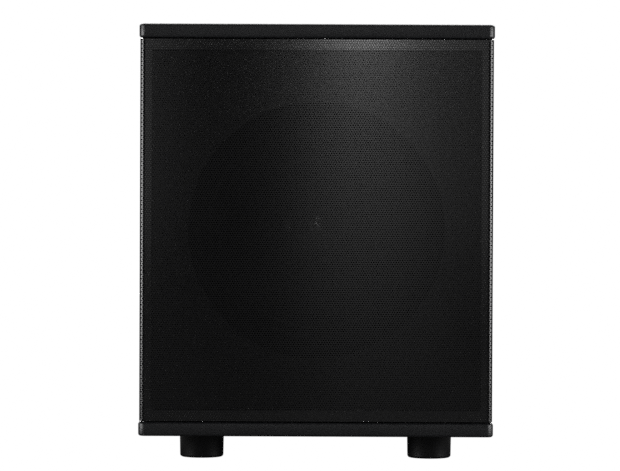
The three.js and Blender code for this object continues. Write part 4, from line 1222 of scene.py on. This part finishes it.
# %% Floor and surround
def seen_white(tree, other):
    """White where the camera looks straight at it, and something darker for every reflection."""
    looked_at = add(tree, "ShaderNodeLightPath").outputs["Is Camera Ray"]
    kind = other.bl_idname.replace("BsdfDiffuse", "Emission")
    white = add(tree, kind, {"Color": linear("#ffffff"), "Strength": 1.0})
    return add(tree, "ShaderNodeMixShader", {0: looked_at, 1: other, 2: white})


FLOOR_HALF = 6
ROOM_GLOW = 0.03
bm = bmesh.new()
bmesh.ops.create_grid(bm, x_segments=1, y_segments=1, size=FLOOR_HALF)
floor_mesh = bpy.data.meshes.new("floor")
bm.to_mesh(floor_mesh)
bm.free()
floor = bpy.data.objects.new("floor", floor_mesh)
bpy.context.scene.collection.objects.link(floor)
floor_paint, tree, _ = begin("pale_floor")
end(tree, seen_white(tree, add(tree, "ShaderNodeBsdfDiffuse", {"Color": linear("#6c6c6c")})))
floor_mesh.materials.append(floor_paint)

world = bpy.data.worlds.new("surround")
world.use_nodes = True
bpy.context.scene.world = world
tree = world.node_tree
tree.nodes.clear()
dim = add(tree, "ShaderNodeBackground", {"Color": linear("#ffffff"), "Strength": ROOM_GLOW})
add(tree, "ShaderNodeOutputWorld", {"Surface": seen_white(tree, dim)})
bpy.context.scene.view_settings.view_transform = "Standard"
bpy.context.scene.cycles.use_denoising = False


# %% [markdown]
# A tall narrow lamp behind the camera and above it makes the soft upright band on the grille, and a
# faint one under it carries the band down. Two faint fills stand to its sides. Two side lamps draw the
# bends and the flanks, and are kept low, so that they don't glare on the top. A low lamp straight behind
# and two higher ones light the back, and one overhead lights the top.

# %% Lamps
def lamp_panel(name, place, aim, width, height, radiance):
    """A soft box in metres. Its power follows from its size, so that radiance is how bright it looks."""
    light = bpy.data.lights.new(name, "AREA")
    light.shape, light.size, light.size_y = "RECTANGLE", width, height
    light.energy = radiance * math.pi * width * height
    panel = bpy.data.objects.new(name, light)
    bpy.context.scene.collection.objects.link(panel)
    away = Vector(place) - Vector(aim)
    panel.matrix_world = Matrix.Translation(place) @ away.to_track_quat("Z", "Y").to_matrix().to_4x4()
    panel.visible_camera = False


FRONT_LAMPS = {  # across, height, width, length and radiance
    "band_lamp": (0.1, 1.054, 0.085, 1.0, 7.2), "low_band_lamp": (0.11, 0.354, 0.24, 0.5, 0.85),
    "right_fill_lamp": (0.34, 0.754, 0.24, 1.2, 0.3), "left_fill_lamp": (-0.4, 0.754, 0.14, 1.2, 0.7),
}
BEHIND_CAMERA = -3.3
for name, (across, height, width, length, radiance) in FRONT_LAMPS.items():
    lamp_panel(name, (across, BEHIND_CAMERA, height), (across, 0, height), width, length, radiance)

centre = (0, 0, 0.22)
for side, name in ((-1, "left"), (1, "right")):
    lamp_panel(f"{name}_lamp", (side * 1.68, -0.82, 0.32), (0, 0, 0.32), 1.3, 0.64, 9.0)
    lamp_panel(f"{name}_rear_lamp", (side * 0.8, 1.6, 1.5), centre, 1.3, 1.1, 5.0)
lamp_panel("back_lamp", (0, 2.0, 0.28), (0, 0, 0.28), 0.75, 0.54, 25.0)
lamp_panel("top_lamp", (0, 0.3, 2.0), (0, 0.1, 0), 1.2, 1.0, 3.0)

# %% [markdown]
# Last, the number of pieces and of their triangles is printed, with the six pieces that have the most.

# %% Pieces and triangles
print("pieces:", len(pieces_made), "triangles:", sum(pieces_made.values()))
print("largest:", sorted(pieces_made.items(), key=lambda item: -item[1])[:6])
